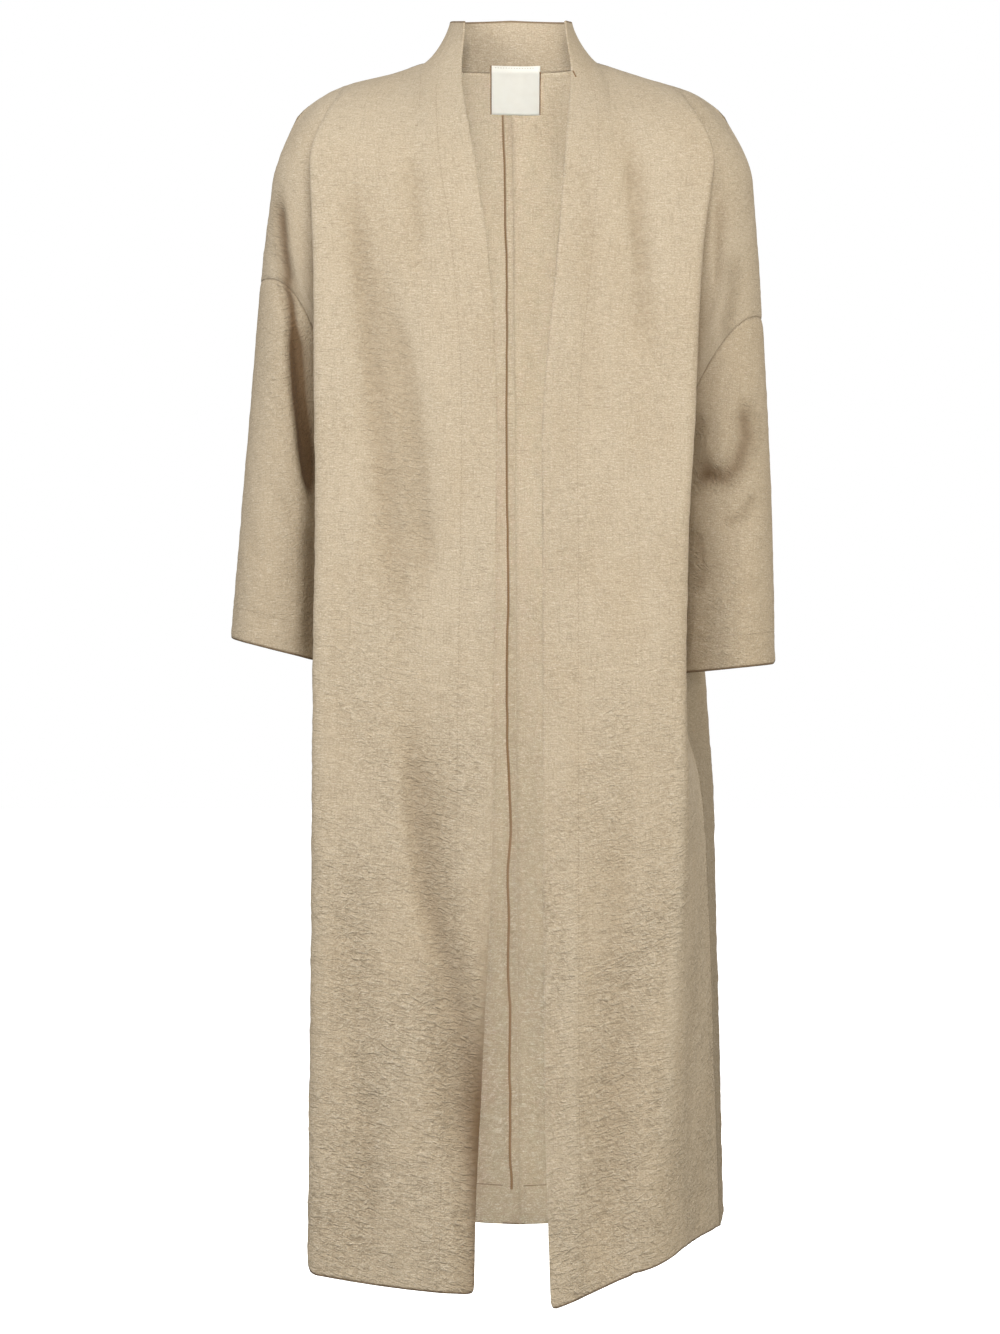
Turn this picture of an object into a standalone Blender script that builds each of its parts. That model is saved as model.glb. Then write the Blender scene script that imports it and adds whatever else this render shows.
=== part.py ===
"""Open duster coat with a grown-on stand collar, dropped shoulders and bracelet sleeves.

The coat keeps the hollow form of a worn garment. Each cloth piece is a thin closed wall.
Sizes are in millimetres in the tables and metres in the model, +Z is up and the front faces -Y.
The origin is the nape: the centre of the back-neck seam. Left and right are the wearer's.
"""

import math

import bmesh
import bpy
import numpy as np

MM = 0.001
WALL = 1.6 * MM
SEAM_GAP = 0.3 * MM
TRIM_WALL = 1.0 * MM
TRIM_GAP = 0.5 * MM
SAME_POINT = 5.0e-6
CREASE_LIMIT = 1.8
PULL_LIMIT = 0.5
DEPTH_HALVINGS = 24

# Number of faces along each direction of a panel.
BODY_COLUMNS = 16
ARM_COLUMNS = 6
COLLAR_ROWS = 4
YOKE_ROWS = 5
CHEST_ROWS = 7
SKIRT_ROWS = 17
SLEEVE_ROWS = 11
COLLAR_SHARE = 0.25

SIDES = {"left": 1.0, "right": -1.0}
CHEST_HEIGHT = -120.0 * MM

# Horizontal sections of the body. "out" runs sideways from the centre, "y" runs to the back.
# edge: front edge. fold: corner where the front turns to the side. side: side seam, measured
# in from the underarm. blade: corner where the back turns to the side.
SECTION_NAMES = ("height", "edge_out", "edge_y", "fold_out", "fold_y", "fold_round",
                 "side_in", "side_y", "blade_out", "blade_y")
SECTIONS = {
    "right": (
        (-120, 33.0, -168, 188.5, -156, 10, 0.0, -70, 186, 33),
        (-200, 21.7, -185, 184.5, -172, 11, 0.0, -70, 186, 38),
        (-330, 13.5, -198, 182.0, -186, 12, 0.0, -70, 184, 42),
        (-450, 14.0, -205, 180.0, -193, 13, 6.0, -70, 182, 42),
        (-580, 16.0, -210, 181.5, -197, 14, 4.0, -68, 182, 42),
        (-780, 19.4, -215, 182.0, -199, 16, -5.0, -60, 182, 45),
        (-980, 32.0, -219, 184.0, -200, 16, -9.0, -55, 184, 50),
        (-1145, 35.5, -224, 186.0, -203, 16, -12.0, -50, 187, 55),
    ),
    "left": (
        (-120, 48.3, -168, 190.0, -152, 10, 0.0, -75, 189, 33),
        (-200, 42.0, -185, 177.5, -170, 11, 0.0, -75, 189, 38),
        (-350, 28.4, -200, 169.0, -184, 12, 0.0, -75, 188, 42),
        (-450, 28.4, -205, 163.0, -191, 13, 7.5, -80, 190, 42),
        (-585, 28.5, -210, 159.5, -196, 15, 7.0, -80, 203, 40),
        (-680, 28.7, -212, 157.5, -197, 20, -20.0, -72, 205, 42),
        (-780, 28.9, -215, 154.5, -198, 26, -29.0, -64, 206, 44),
        (-980, 30.0, -219, 147.0, -199, 32, -37.0, -56, 209, 50),
        (-1150, 35.1, -226, 142.0, -202, 34, -43.0, -50, 212, 55),
    ),
}

# Shares of a row that end each leg of the section's path, and how the long folds fade.
BLADE_ROUND = 45.0 * MM
BACK_SHARE = 0.5
BACK_FLATNESS = 1.5
BLADE_SHARE = 0.8125
ROUND_LIMIT = 0.6
FACE_SHARE = 0.75
FOLD_SHARE = 0.875
FRONT_FADE = (0.80, 0.16)
BACK_FADE = (0.82, 0.20)
CENTRE_FADE = 0.12
FOLD_FADE = 0.3

# The hollow that the hanging arm leaves in the coat's side.
FRONT_TUCK = 8.0 * MM
BACK_TUCK = 9.0 * MM
CREASE_POWER = 0.8
TUCK_FADE = 60.0 * MM
TUCK_END = -680.0 * MM

# Angles at which the arm leaves the front and the back at the height of the chest.
CREASE_ANGLES = {1: math.radians(100.0), -1: math.radians(112.0)}

# Horizontal sections of the upper arm and sleeve, each an ellipse.
ARM_NAMES = ("height", "out", "width", "depth", "centre_y")
ARMS = {
    "right": (
        (-120, 225.0, 90, 124, -68),
        (-200, 235.5, 87, 124, -70),
        (-330, 247.5, 82, 120, -70),
        (-450, 257.0, 88, 120, -72),
        (-574, 267.0, 94, 124, -72),
    ),
    "left": (
        (-120, 229.5, 92, 124, -68),
        (-200, 234.5, 86, 124, -72),
        (-350, 242.0, 84, 120, -75),
        (-450, 246.5, 87, 120, -78),
        (-584, 249.5, 91, 124, -80),
    ),
}

# Heights that close each panel: armhole seam and cuff.
LIMIT_NAMES = ("armhole_top", "underarm", "cuff_out", "cuff_in")
UNDERARM_CENTRE = -340.0 * MM
LIMITS = {
    "right": (-215, -330, -551, -574),
    "left": (-250, -350, -575, -584),
}
# How long the armhole seam stays high before it drops to the underarm.
ARMHOLE_BOW = {"right": 2.3, "left": 1.9}

# Hem lines, as (share, height) from the front edge or centre back to the side seam.
FRONT_HEMS = {
    "right": ((0.0, -1141), (0.4, -1135.5), (0.8, -1126), (1.0, -1118)),
    "left": ((0.0, -1153), (0.22, -1146), (0.64, -1129), (0.75, -1124), (0.875, -1110),
             (1.0, -1112)),
}
BACK_HEMS = {
    "right": ((0.0, -1134), (0.1, -1132.5), (0.2, -1130), (1.0, -1118)),
    "left": ((0.0, -1134), (0.1, -1132.5), (0.2, -1130), (1.0, -1112)),
}

# Centre-back line, as (height, x, y): it drifts to the wearer's left on the way down.
CENTRE_LINE = ((-1150, 9.0, 70), (-980, 8.0, 62), (-780, 6.9, 54), (-550, 5.5, 50),
               (-340, 4.3, 50), (-200, 3.5, 45), (-120, 3.0, 36), (0, 0.0, 0))

# Shoulder line from the side of the neck to the end of the shoulder, as (out, height).
SHOULDER_LINE = ((83, -4), (103, -11.5), (124, -18), (150, -25), (170, -32), (185, -40),
                 (197, -49), (203, -55.5))
SHOULDER_Y = (-62, -66)
SHOULDER_CREASE_OUT = 168

# Neck: the base of the collar and its top edge, at the front edge, neck side and centre back.
NECK_SIDE = (83, -62, -4)
NECK_NAMES = ("base", "base_bend", "top", "top_bend")
NECK = {
    "right": ((46.8, -115, -24.5), (76, -99, -15), (45.2, -95, 28.5), (54, -74, 33)),
    "left": ((55.8, -115, -27.0), (78, -99, -15), (50.6, -95, 28.5), (56, -74, 33)),
}
COLLAR_SIDE_TOP = (58.5, -50, 37.5)
BACK_NECK_BEND = (66, -3, -3)
COLLAR_BACK_TOP = (0, -4, 49)
COLLAR_BACK_BEND = (47, -6, 46.5)

# Directions in which the cloth leaves the shoulder and collar lines. Their lengths say how far
# it keeps that direction.
EDGE_FALL = (-4, -42, -72)
NECK_FALL = (18, -80, -40)
SHOULDER_FALL = (0, -125, -22)
TIP_FALL = (30, 0, -55)
BACK_NECK_FALL = (0, 42, -118)
BACK_SIDE_FALL = (14, 62, -40)
BACK_SHOULDER_FALL = (0, 105, -24)
BACK_TIP_FALL = (30, 0, -55)
FALL_FADE = 0.4
FALL_STEP = 0.02
COLLAR_EDGE_FALL = (2, -10, -52)
COLLAR_EDGE_FOOT = (-2.8, -29.4, -50.4)
COLLAR_SIDE_FALL = (9, -3, -40)
COLLAR_SIDE_FOOT = (32, -8, -22)
COLLAR_BACK_FALL = (0, 1, -50)
COLLAR_BACK_FOOT = (0, 6, -46)

# Long soft folds of the fronts: a trough is positive. Each runs between two heights.
FOLD_NAMES = ("top", "bottom", "top_out", "bottom_out", "bow", "half_width", "depth")
FOLDS = {
    "right": (
        (-70, -620, 152, 95, -4, 20, 6.0),
        (-560, -1110, 101, 40, -6, 24, 7.0),
        (-190, -560, 118, 72, -6, 15, 4.5),
        (-75, -250, 92, 83, 0, 12, 3.0),
        (-700, -1180, 150, 128, 4, 22, 3.5),
    ),
    "left": (
        (-60, -330, 108, 124, 0, 16, 5.0),
        (-90, -420, 62, 74, 4, 15, 3.0),
        (-620, -1190, 92, 84, 5, 24, 4.5),
        (-700, -1190, 54, 60, 0, 12, -2.0),
    ),
}

# Soft folds of the back, which the photograph hides apart from the strip beside its seam.
BACK_FOLDS = {
    "right": (
        (-180, -1190, 62, 70, 5, 24, 5.0),
        (-420, -1190, 122, 128, 0, 22, 5.0),
    ),
    "left": (
        (-200, -1190, 66, 80, -4, 26, 5.0),
        (-380, -1190, 132, 140, 0, 22, 5.0),
    ),
}

# Centre-back seam allowance, back hem turn-up and neck label, all inside the back.
# The side inset is a share of the half back's width.
SIDE_INSET = 0.01
BODY_AXIS_Y = -70.0 * MM
PATCH_STEP = 0.004
ALLOWANCE_WIDTH = 8.0 * MM
ALLOWANCE_TOP = -8.0 * MM
ALLOWANCE_END = -1100.0 * MM
HEM_DEPTH = 39.0 * MM
LABEL_LEFT_OUT = 28.5 * MM
LABEL_RIGHT_OUT = 19.2 * MM
LABEL_TOP = 5.0 * MM
LABEL_HEIGHT = 45.0 * MM
LABEL_WALL = 0.8 * MM
LABEL_SEAM = -1.0 * MM
LABEL_SLANT = 1.15
LABEL_SPREAD = 0.68
LABEL_TILT = -0.02
LABEL_COLUMNS = 6
LABEL_ROWS = 6

LINEN_FRONT = (0.62, 0.50, 0.35, 1.0)
LINEN_BACK = (0.60, 0.48, 0.33, 1.0)
LINEN_SLEEVE = (0.58, 0.46, 0.32, 1.0)
LINEN_COLLAR = (0.59, 0.48, 0.34, 1.0)
LINEN_TRIM = (0.50, 0.39, 0.26, 1.0)
LABEL_CREAM = (0.90, 0.88, 0.78, 1.0)
LINEN_ROUGHNESS = 0.9
LABEL_ROUGHNESS = 0.7


def clear_scene():
    """Remove what the new file holds."""
    for item in list(bpy.data.objects):
        bpy.data.objects.remove(item, do_unlink=True)


def point(*sizes):
    """Sizes in millimetres as a point in metres."""
    return np.array(sizes, dtype=float) * MM


def mix(start, end, share):
    """Straight mix of two values or points, exact at both ends."""
    return start * (1.0 - share) + end * share


def ease(share):
    """Smooth step from 0 to 1."""
    share = min(max(share, 0.0), 1.0)
    return share * share * (3.0 - 2.0 * share)


def curve_value(rows, place, column):
    """Smooth curve through one column of a table whose first column falls or rises."""
    if rows[0][0] > rows[-1][0]:
        rows = rows[::-1]
    places = [row[0] for row in rows]
    values = [row[column] for row in rows]
    place = min(max(place, places[0]), places[-1])
    index = 0
    while index < len(places) - 2 and place > places[index + 1]:
        index += 1
    slopes = []
    for near in (index, index + 1):
        low = max(near - 1, 0)
        high = min(near + 1, len(places) - 1)
        slopes.append((values[high] - values[low]) / (places[high] - places[low]))
    span = places[index + 1] - places[index]
    t = (place - places[index]) / span
    return (values[index] * (1 + 2 * t) * (1 - t) ** 2 + slopes[0] * span * t * (1 - t) ** 2
            + values[index + 1] * t * t * (3 - 2 * t) + slopes[1] * span * t * t * (t - 1))


def table_row(table, names, height):
    """All the named sizes of a table at one height, in metres."""
    return {name: curve_value(table, height / MM, index) * MM
            for index, name in enumerate(names) if index}


def limit(side, name):
    """One closing height of a side, in metres."""
    return LIMITS[side][LIMIT_NAMES.index(name)] * MM


def neck_point(side, name):
    """One point of the neck table, in metres."""
    return point(*NECK[side][NECK_NAMES.index(name)])


def bend(start, control, end, share):
    """Point of a curve that is drawn towards one control point."""
    return mix(mix(start, control, share), mix(control, end, share), share)


def hermite(start, start_fall, end, end_fall, share):
    """Point of a curve that leaves and arrives along given directions."""
    t = share
    return (start * (1 + 2 * t) * (1 - t) ** 2 + start_fall * t * (1 - t) ** 2
            + end * t * t * (3 - 2 * t) + end_fall * t * t * (t - 1))


def rounded_path(start, corner, end, radius, face_share, round_share, share):
    """Two straight legs with a rounded corner between them."""
    leg_in = (start - corner) / np.linalg.norm(start - corner)
    leg_out = (end - corner) / np.linalg.norm(end - corner)
    round_start = corner + leg_in * radius
    round_end = corner + leg_out * min(radius, ROUND_LIMIT * np.linalg.norm(end - corner))
    if share <= face_share:
        return mix(start, round_start, share / face_share)
    if share <= round_share:
        part = (share - face_share) / (round_share - face_share)
        return bend(round_start, corner, round_end, part)
    return mix(round_end, end, (share - round_share) / (1.0 - round_share))


def fold_shift(folds, out, height):
    """Depth that the folds give at one place of a front or back."""
    shift = 0.0
    for row in folds:
        fold = dict(zip(FOLD_NAMES, (size * MM for size in row)))
        along = (height - fold["top"]) / (fold["bottom"] - fold["top"])
        if 0.0 < along < 1.0:
            middle = mix(fold["top_out"], fold["bottom_out"], along)
            middle += fold["bow"] * 4.0 * along * (1.0 - along)
            reach = (out - middle) / fold["half_width"]
            fade = ease(along / FOLD_FADE) * ease((1.0 - along) / FOLD_FADE)
            shift += fold["depth"] * fade * math.exp(-reach * reach)
    return shift


def centre_point(height):
    """Point of the centre-back line."""
    x, y = (curve_value(CENTRE_LINE, height / MM, column) * MM for column in (1, 2))
    return np.array((x, y, height))


def underarm_row(side, share):
    """Height of the underarm row: the same for both sides at the centre."""
    return mix(UNDERARM_CENTRE, limit(side, "underarm"), ease(share))


def arm_point(side, angle, height):
    """Point of the arm's section. Angle 0 is the outside, 90 degrees the front."""
    arm = table_row(ARMS[side], ARM_NAMES, height)
    middle = arm["out"] - arm["width"] / 2
    out = middle + arm["width"] / 2 * math.cos(angle)
    y = arm["centre_y"] - arm["depth"] / 2 * math.sin(angle)
    return np.array((out, y, height))


def crease_angle(share, facing):
    """Angle at which the arm leaves the body, from the chest (0) to the underarm (1)."""
    rest = math.pi - CREASE_ANGLES[facing]
    return facing * (math.pi - rest * (1.0 - share) ** CREASE_POWER)


def crease_point(side, height, facing):
    """Crease between body and arm above the underarm. Facing is 1 in front, -1 behind."""
    underarm = limit(side, "underarm")
    share = (height - CHEST_HEIGHT) / (underarm - CHEST_HEIGHT)
    return arm_point(side, crease_angle(min(max(share, 0.0), 1.0), facing), height)


def side_point(side, height, facing):
    """End of the front or back section: the crease, or the side seam under the arm."""
    underarm = limit(side, "underarm")
    if height >= underarm:
        return crease_point(side, height, facing)
    body = table_row(SECTIONS[side], SECTION_NAMES, height)
    start = arm_point(side, math.pi, underarm)
    return np.array((start[0] - body["side_in"], body["side_y"], height))


def arm_tuck(height, share, leg_share, depth):
    """Hollow that the hanging arm leaves in the coat's side, deepest in mid leg."""
    below = ease((height - TUCK_END) / TUCK_FADE)
    along = min(max((share - leg_share) / (1.0 - leg_share), 0.0), 1.0)
    return depth * below * math.sin(math.pi * along)


def section_point(side, share, height, facing):
    """Point of the horizontal section, share 0 at the centre and 1 at the side."""
    body = table_row(SECTIONS[side], SECTION_NAMES, height)
    end = side_point(side, height, facing)
    if facing > 0:
        start = np.array((body["edge_out"], body["edge_y"], height))
        corner = np.array((body["fold_out"], body["fold_y"], height))
        place = rounded_path(start, corner, end, body["fold_round"], FACE_SHARE, FOLD_SHARE,
                             share)
        place[0] -= arm_tuck(height, share, FOLD_SHARE, FRONT_TUCK)
        folds = FOLDS[side]
        fade = ease((FRONT_FADE[0] - share) / FRONT_FADE[1])
    else:
        start = centre_point(height) * np.array((SIDES[side], 1.0, 1.0))
        corner = np.array((body["blade_out"], body["blade_y"], height))
        place = rounded_path(start, corner, end, BLADE_ROUND, BACK_SHARE, BLADE_SHARE, share)
        if share < BACK_SHARE:
            rest = rounded_path(start, corner, end, BLADE_ROUND, BACK_SHARE, BLADE_SHARE,
                                BACK_SHARE)
            place[1] = mix(start[1], rest[1], (share / BACK_SHARE) ** BACK_FLATNESS)
        place[0] -= arm_tuck(height, share, BLADE_SHARE, BACK_TUCK)
        folds = BACK_FOLDS[side]
        fade = ease(share / CENTRE_FADE) * ease((BACK_FADE[0] - share) / BACK_FADE[1])
    place[1] += facing * fade * fold_shift(folds, place[0], height)
    return place


def shoulder_point(share):
    """Shoulder seam from the neck (0) through the crease (1) to the shoulder's end (2)."""
    first = SHOULDER_LINE[0][0]
    last = SHOULDER_LINE[-1][0]
    if share <= 1.0:
        out = mix(first, SHOULDER_CREASE_OUT, share)
    else:
        out = mix(SHOULDER_CREASE_OUT, last, share - 1.0)
    y = mix(SHOULDER_Y[0], SHOULDER_Y[1], (out - first) / (last - first))
    return point(out, y, curve_value(SHOULDER_LINE, out, 1))


def top_point(side, share, facing):
    """Top row of a front or back: the neck line, then the shoulder seam."""
    if share >= COLLAR_SHARE:
        return shoulder_point(shoulder_share(share))
    part = share / COLLAR_SHARE
    if facing > 0:
        return bend(neck_point(side, "base"), neck_point(side, "base_bend"),
                    point(*NECK_SIDE), part)
    start = np.array((0.0, 0.0, 0.0))
    return bend(start, point(*BACK_NECK_BEND), point(*NECK_SIDE), part)


def shoulder_share(share):
    """Share along the shoulder seam of a body (0 to 1) or arm (1 to 2) column."""
    if share <= 1.0:
        return (share - COLLAR_SHARE) / (1.0 - COLLAR_SHARE)
    return share


def top_fall(share, facing):
    """Direction in which the cloth leaves the neck line or shoulder seam."""
    falls = (EDGE_FALL, NECK_FALL, SHOULDER_FALL, TIP_FALL)
    if facing < 0:
        falls = (BACK_NECK_FALL, BACK_SIDE_FALL, BACK_SHOULDER_FALL, BACK_TIP_FALL)
    edge, neck, shoulder, tip = (point(*fall) for fall in falls)
    if share <= COLLAR_SHARE:
        return mix(edge, neck, ease(share / COLLAR_SHARE))
    if share <= 1.0:
        return mix(neck, shoulder, ease((share - COLLAR_SHARE) / FALL_FADE))
    return mix(shoulder, tip, ease(share - 1.0))


def chest_point(side, share, drop, facing):
    """Body or arm column at a drop (0 to 1) between the chest row and the underarm row."""
    if share <= 1.0:
        height = mix(CHEST_HEIGHT, underarm_row(side, share), drop)
        return section_point(side, share, height, facing)
    around = 2.0 - share
    end_height = armhole_height(side, math.pi * around)
    height = mix(CHEST_HEIGHT, end_height, drop)
    return arm_point(side, crease_angle(drop, facing) * around, height)


def armhole_height(side, angle):
    """Height of the armhole seam around the arm."""
    share = ((1.0 - math.cos(angle)) / 2) ** ARMHOLE_BOW[side]
    return mix(limit(side, "armhole_top"), limit(side, "underarm"), share)


def cuff_height(side, angle):
    """Height of the cuff around the arm."""
    return mix(limit(side, "cuff_out"), limit(side, "cuff_in"), (1.0 - math.cos(angle)) / 2)


def hem_height(side, share, facing):
    """Height of the hem, share 0 at the front edge or centre back and 1 at the side seam."""
    hems = FRONT_HEMS if facing > 0 else BACK_HEMS
    return curve_value(hems[side], share, 1) * MM


def yoke_point(side, share, drop, facing):
    """Column between the shoulder line (0) and the chest row (1)."""
    end = chest_point(side, share, 0.0, facing)
    end_fall = chest_point(side, share, FALL_STEP, facing) - end
    end_fall = end_fall / np.linalg.norm(end_fall)
    start = top_point(side, share, facing)
    reach = np.linalg.norm(end - start)
    return hermite(start, top_fall(share, facing), end, end_fall * reach, drop)


def skirt_point(side, share, drop, facing):
    """Body column between the underarm row (0) and the hem (1)."""
    height = mix(underarm_row(side, share), hem_height(side, share, facing), drop)
    return section_point(side, share, height, facing)


def sleeve_point(side, turn, drop):
    """Sleeve between the armhole seam (0) and the cuff (1). Turn runs from -1 to 1."""
    angle = math.pi * turn
    height = mix(armhole_height(side, angle), cuff_height(side, angle), drop)
    return arm_point(side, angle, height)


def front_collar_point(side, share, rise):
    """Grown-on collar of a front between the neck line (0) and its top edge (1)."""
    base = top_point(side, share * COLLAR_SHARE, 1)
    top = bend(neck_point(side, "top"), neck_point(side, "top_bend"),
               point(*COLLAR_SIDE_TOP), share)
    fall = mix(point(*COLLAR_EDGE_FALL), point(*COLLAR_SIDE_FALL), share)
    foot = mix(point(*COLLAR_EDGE_FOOT), point(*COLLAR_SIDE_FOOT), share)
    return hermite(top, fall, base, foot, 1.0 - rise)


def back_collar_point(share, rise):
    """Half of the back collar, share 0 at the centre and 1 at the shoulder seam."""
    base = top_point("left", share * COLLAR_SHARE, -1)
    top = bend(point(*COLLAR_BACK_TOP), point(*COLLAR_BACK_BEND), point(*COLLAR_SIDE_TOP), share)
    fall = mix(point(*COLLAR_BACK_FALL), point(*COLLAR_SIDE_FALL), share)
    foot = mix(point(*COLLAR_BACK_FOOT), point(*COLLAR_SIDE_FOOT), share)
    return hermite(top, fall, base, foot, 1.0 - rise)


def grid(place, columns, rows):
    """Rows of points of a patch, from its two shares."""
    return [[place(column, row) for column in columns] for row in rows]


def shares(count, start=0.0, end=1.0):
    """Evenly spaced shares, exact at both ends."""
    return [mix(start, end, index / count) for index in range(count + 1)]


def on_side(rows, side):
    """Mirror a grid to its own side."""
    mirror = np.array((SIDES[side], 1.0, 1.0))
    return [[p * mirror for p in row] for row in rows]


def body_grids(side, facing):
    """Patches of a front or back: collar, yoke, chest, arm and skirt."""
    body = shares(BODY_COLUMNS)
    arm = shares(ARM_COLUMNS, 1.0, 2.0)
    yoke = shares(YOKE_ROWS)
    chest = shares(CHEST_ROWS)
    skirt = shares(SKIRT_ROWS)
    grids = [
        grid(lambda u, v: yoke_point(side, u, v, facing), body, yoke),
        grid(lambda u, v: yoke_point(side, u, v, facing), arm, yoke),
        grid(lambda u, v: chest_point(side, u, v, facing), body, chest),
        grid(lambda u, v: chest_point(side, u, v, facing), arm, chest),
        grid(lambda u, v: skirt_point(side, u, v, facing), body, skirt),
    ]
    if facing > 0:
        neck = shares(round(BODY_COLUMNS * COLLAR_SHARE))
        rise = shares(COLLAR_ROWS, 1.0, 0.0)
        grids.append(grid(lambda u, v: front_collar_point(side, u, v), neck, rise))
    turned = facing * SIDES[side] < 0
    return [(on_side(rows, side), turned) for rows in grids]


def sleeve_grids(side):
    """The sleeve's tube, with its columns on the armhole's points."""
    turns = shares(ARM_COLUMNS * 2, -1.0, 1.0)
    rows = grid(lambda u, v: sleeve_point(side, u, v), turns, shares(SLEEVE_ROWS))
    return [(on_side(rows, side), SIDES[side] > 0)]


def collar_grids():
    """The back collar: both halves."""
    columns = shares(round(BODY_COLUMNS * COLLAR_SHARE))
    rise = shares(COLLAR_ROWS, 1.0, 0.0)
    half = grid(back_collar_point, columns, rise)
    return [(on_side(half, side), SIDES[side] > 0) for side in SIDES]


class Sheet:
    """One cloth piece as an open sheet of points and faces."""

    def __init__(self, grids):
        self.points = []
        self.faces = []
        self.index = {}
        for rows, turned in grids:
            self.add(rows, turned)

    def vertex(self, place):
        """Number of the vertex at a place."""
        key = point_key(place)
        if key not in self.index:
            self.index[key] = len(self.points)
            self.points.append(place)
        return self.index[key]

    def add(self, rows, turned):
        """Add a grid's faces."""
        for upper, lower in zip(rows, rows[1:]):
            for corner in range(len(upper) - 1):
                loop = [self.vertex(upper[corner]), self.vertex(lower[corner]),
                        self.vertex(lower[corner + 1]), self.vertex(upper[corner + 1])]
                loop = [v for place, v in enumerate(loop) if v != loop[place - 1]]
                self.faces.append(loop[::-1] if turned else loop)

    def open_edges(self):
        """Directed edges that only one face uses."""
        used = {}
        for face in self.faces:
            for start, end in zip(face, face[1:] + face[:1]):
                used[(start, end)] = face
        return [edge for edge in used if edge[::-1] not in used]


def point_key(place):
    """Key that two points share when they are the same place."""
    return tuple(int(round(value / SAME_POINT)) for value in place)


def face_normal(sheet, face):
    """Unit normal of a face."""
    a, b, c = (sheet.points[face[place]] for place in (0, 1, 2))
    d = sheet.points[face[-1]]
    normal = np.cross(c - a, d - b)
    return normal / np.linalg.norm(normal)


def corner_angle(sheet, face, place):
    """Angle of a face at one of its corners."""
    here = sheet.points[face[place]]
    before = sheet.points[face[place - 1]] - here
    after = sheet.points[face[(place + 1) % len(face)]] - here
    cosine = np.dot(before, after) / (np.linalg.norm(before) * np.linalg.norm(after))
    return math.acos(min(max(cosine, -1.0), 1.0))


def shared_normals(sheets):
    """Normals over all sheets, so that both sides of a seam turn the same way.

    At a crease the normal is longer than 1, so that the wall keeps its thickness there.
    """
    normals = {}
    for sheet in sheets.values():
        for face in sheet.faces:
            normal = face_normal(sheet, face)
            for place, vertex in enumerate(face):
                weight = corner_angle(sheet, face, place)
                total = normals.setdefault(point_key(sheet.points[vertex]), np.zeros(4))
                total += np.append(normal, 1.0) * weight
    result = {}
    for key, total in normals.items():
        mean = total[:3] / total[3]
        length = np.linalg.norm(mean)
        result[key] = mean / length * min(1.0 / length, CREASE_LIMIT)
    for side, sign in SIDES.items():
        underarm = arm_point(side, math.pi, limit(side, "underarm"))
        result[point_key(underarm * np.array((sign, 1.0, 1.0)))] = np.array((0.0, 0.0, -1.0))
    return result


def seam_shift(sheet, others, normals):
    """Move along the cloth that leaves half a gap at each seam."""
    shift = {}
    for start, end in sheet.open_edges():
        keys = [point_key(sheet.points[vertex]) for vertex in (start, end)]
        if not any(all(key in other.index for key in keys) for other in others):
            continue
        along = sheet.points[end] - sheet.points[start]
        for vertex, key in zip((start, end), keys):
            inward = np.cross(normals[key], along)
            inward = inward / np.linalg.norm(inward)
            shift.setdefault(vertex, []).append(inward)
    moves = {}
    for vertex, pulls in shift.items():
        total = sum(pulls)
        square = max(float(np.dot(total, total)) / len(pulls), PULL_LIMIT)
        moves[vertex] = total / square * (SEAM_GAP / 2)
    return moves


def wall_mesh(name, outer, inner, faces, borders):
    """Closed wall between two sheets of matching points.

    The wall is lofted here because its thickness follows the whole coat's normals: a
    thickness worked out panel by panel would push two panels into each other at a seam.
    Faces are split along the same diagonal outside, inside and on both rims of a seam.
    """
    shape = bmesh.new()
    front = [shape.verts.new(p) for p in outer]
    back = [shape.verts.new(p) for p in inner]
    for face in faces:
        for corner in range(1, len(face) - 1):
            triangle = (face[0], face[corner], face[corner + 1])
            shape.faces.new([front[v] for v in triangle])
            shape.faces.new([back[v] for v in reversed(triangle)])
    for start, end in borders:
        if tuple(outer[start]) < tuple(outer[end]):
            shape.faces.new((front[end], front[start], back[end]))
            shape.faces.new((front[start], back[start], back[end]))
        else:
            shape.faces.new((front[end], front[start], back[start]))
            shape.faces.new((front[end], back[start], back[end]))
    mesh = bpy.data.meshes.new(name)
    shape.to_mesh(mesh)
    shape.free()
    return mesh


def cloth_material(name, colour, roughness):
    """Plain woven cloth."""
    material = bpy.data.materials.new(name)
    material.use_nodes = True
    shader = material.node_tree.nodes["Principled BSDF"]
    shader.inputs["Base Color"].default_value = colour
    shader.inputs["Roughness"].default_value = roughness
    shader.inputs["Metallic"].default_value = 0.0
    return material


def add_object(collection, name, mesh, colour, roughness=LINEN_ROUGHNESS):
    """Link a finished mesh as its own object with its own material."""
    item = bpy.data.objects.new(name, mesh)
    mesh.materials.append(cloth_material(name + "_cloth", colour, roughness))
    mesh.shade_smooth()
    collection.objects.link(item)
    return item


def coat_sheets():
    """The seven main cloth pieces as open sheets."""
    sheets = {}
    for side in SIDES:
        sheets["front_" + side] = Sheet(body_grids(side, 1))
        sheets["back_" + side] = Sheet(body_grids(side, -1))
        sheets["sleeve_" + side] = Sheet(sleeve_grids(side))
    sheets["collar_back"] = Sheet(collar_grids())
    return sheets


def add_cloth(collection):
    """Add the main cloth pieces."""
    colours = {"front": LINEN_FRONT, "back": LINEN_BACK, "sleeve": LINEN_SLEEVE,
               "collar": LINEN_COLLAR}
    sheets = coat_sheets()
    normals = shared_normals(sheets)
    for name, sheet in sheets.items():
        others = [other for other in sheets.values() if other is not sheet]
        moves = seam_shift(sheet, others, normals)
        outer = []
        inner = []
        for vertex, place in enumerate(sheet.points):
            normal = normals[point_key(place)]
            moved = place + moves.get(vertex, np.zeros(3))
            outer.append(moved)
            inner.append(moved - normal * WALL)
        mesh = wall_mesh(name, outer, inner, sheet.faces, sheet.open_edges())
        add_object(collection, name, mesh, colours[name.split("_")[0]])


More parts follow.
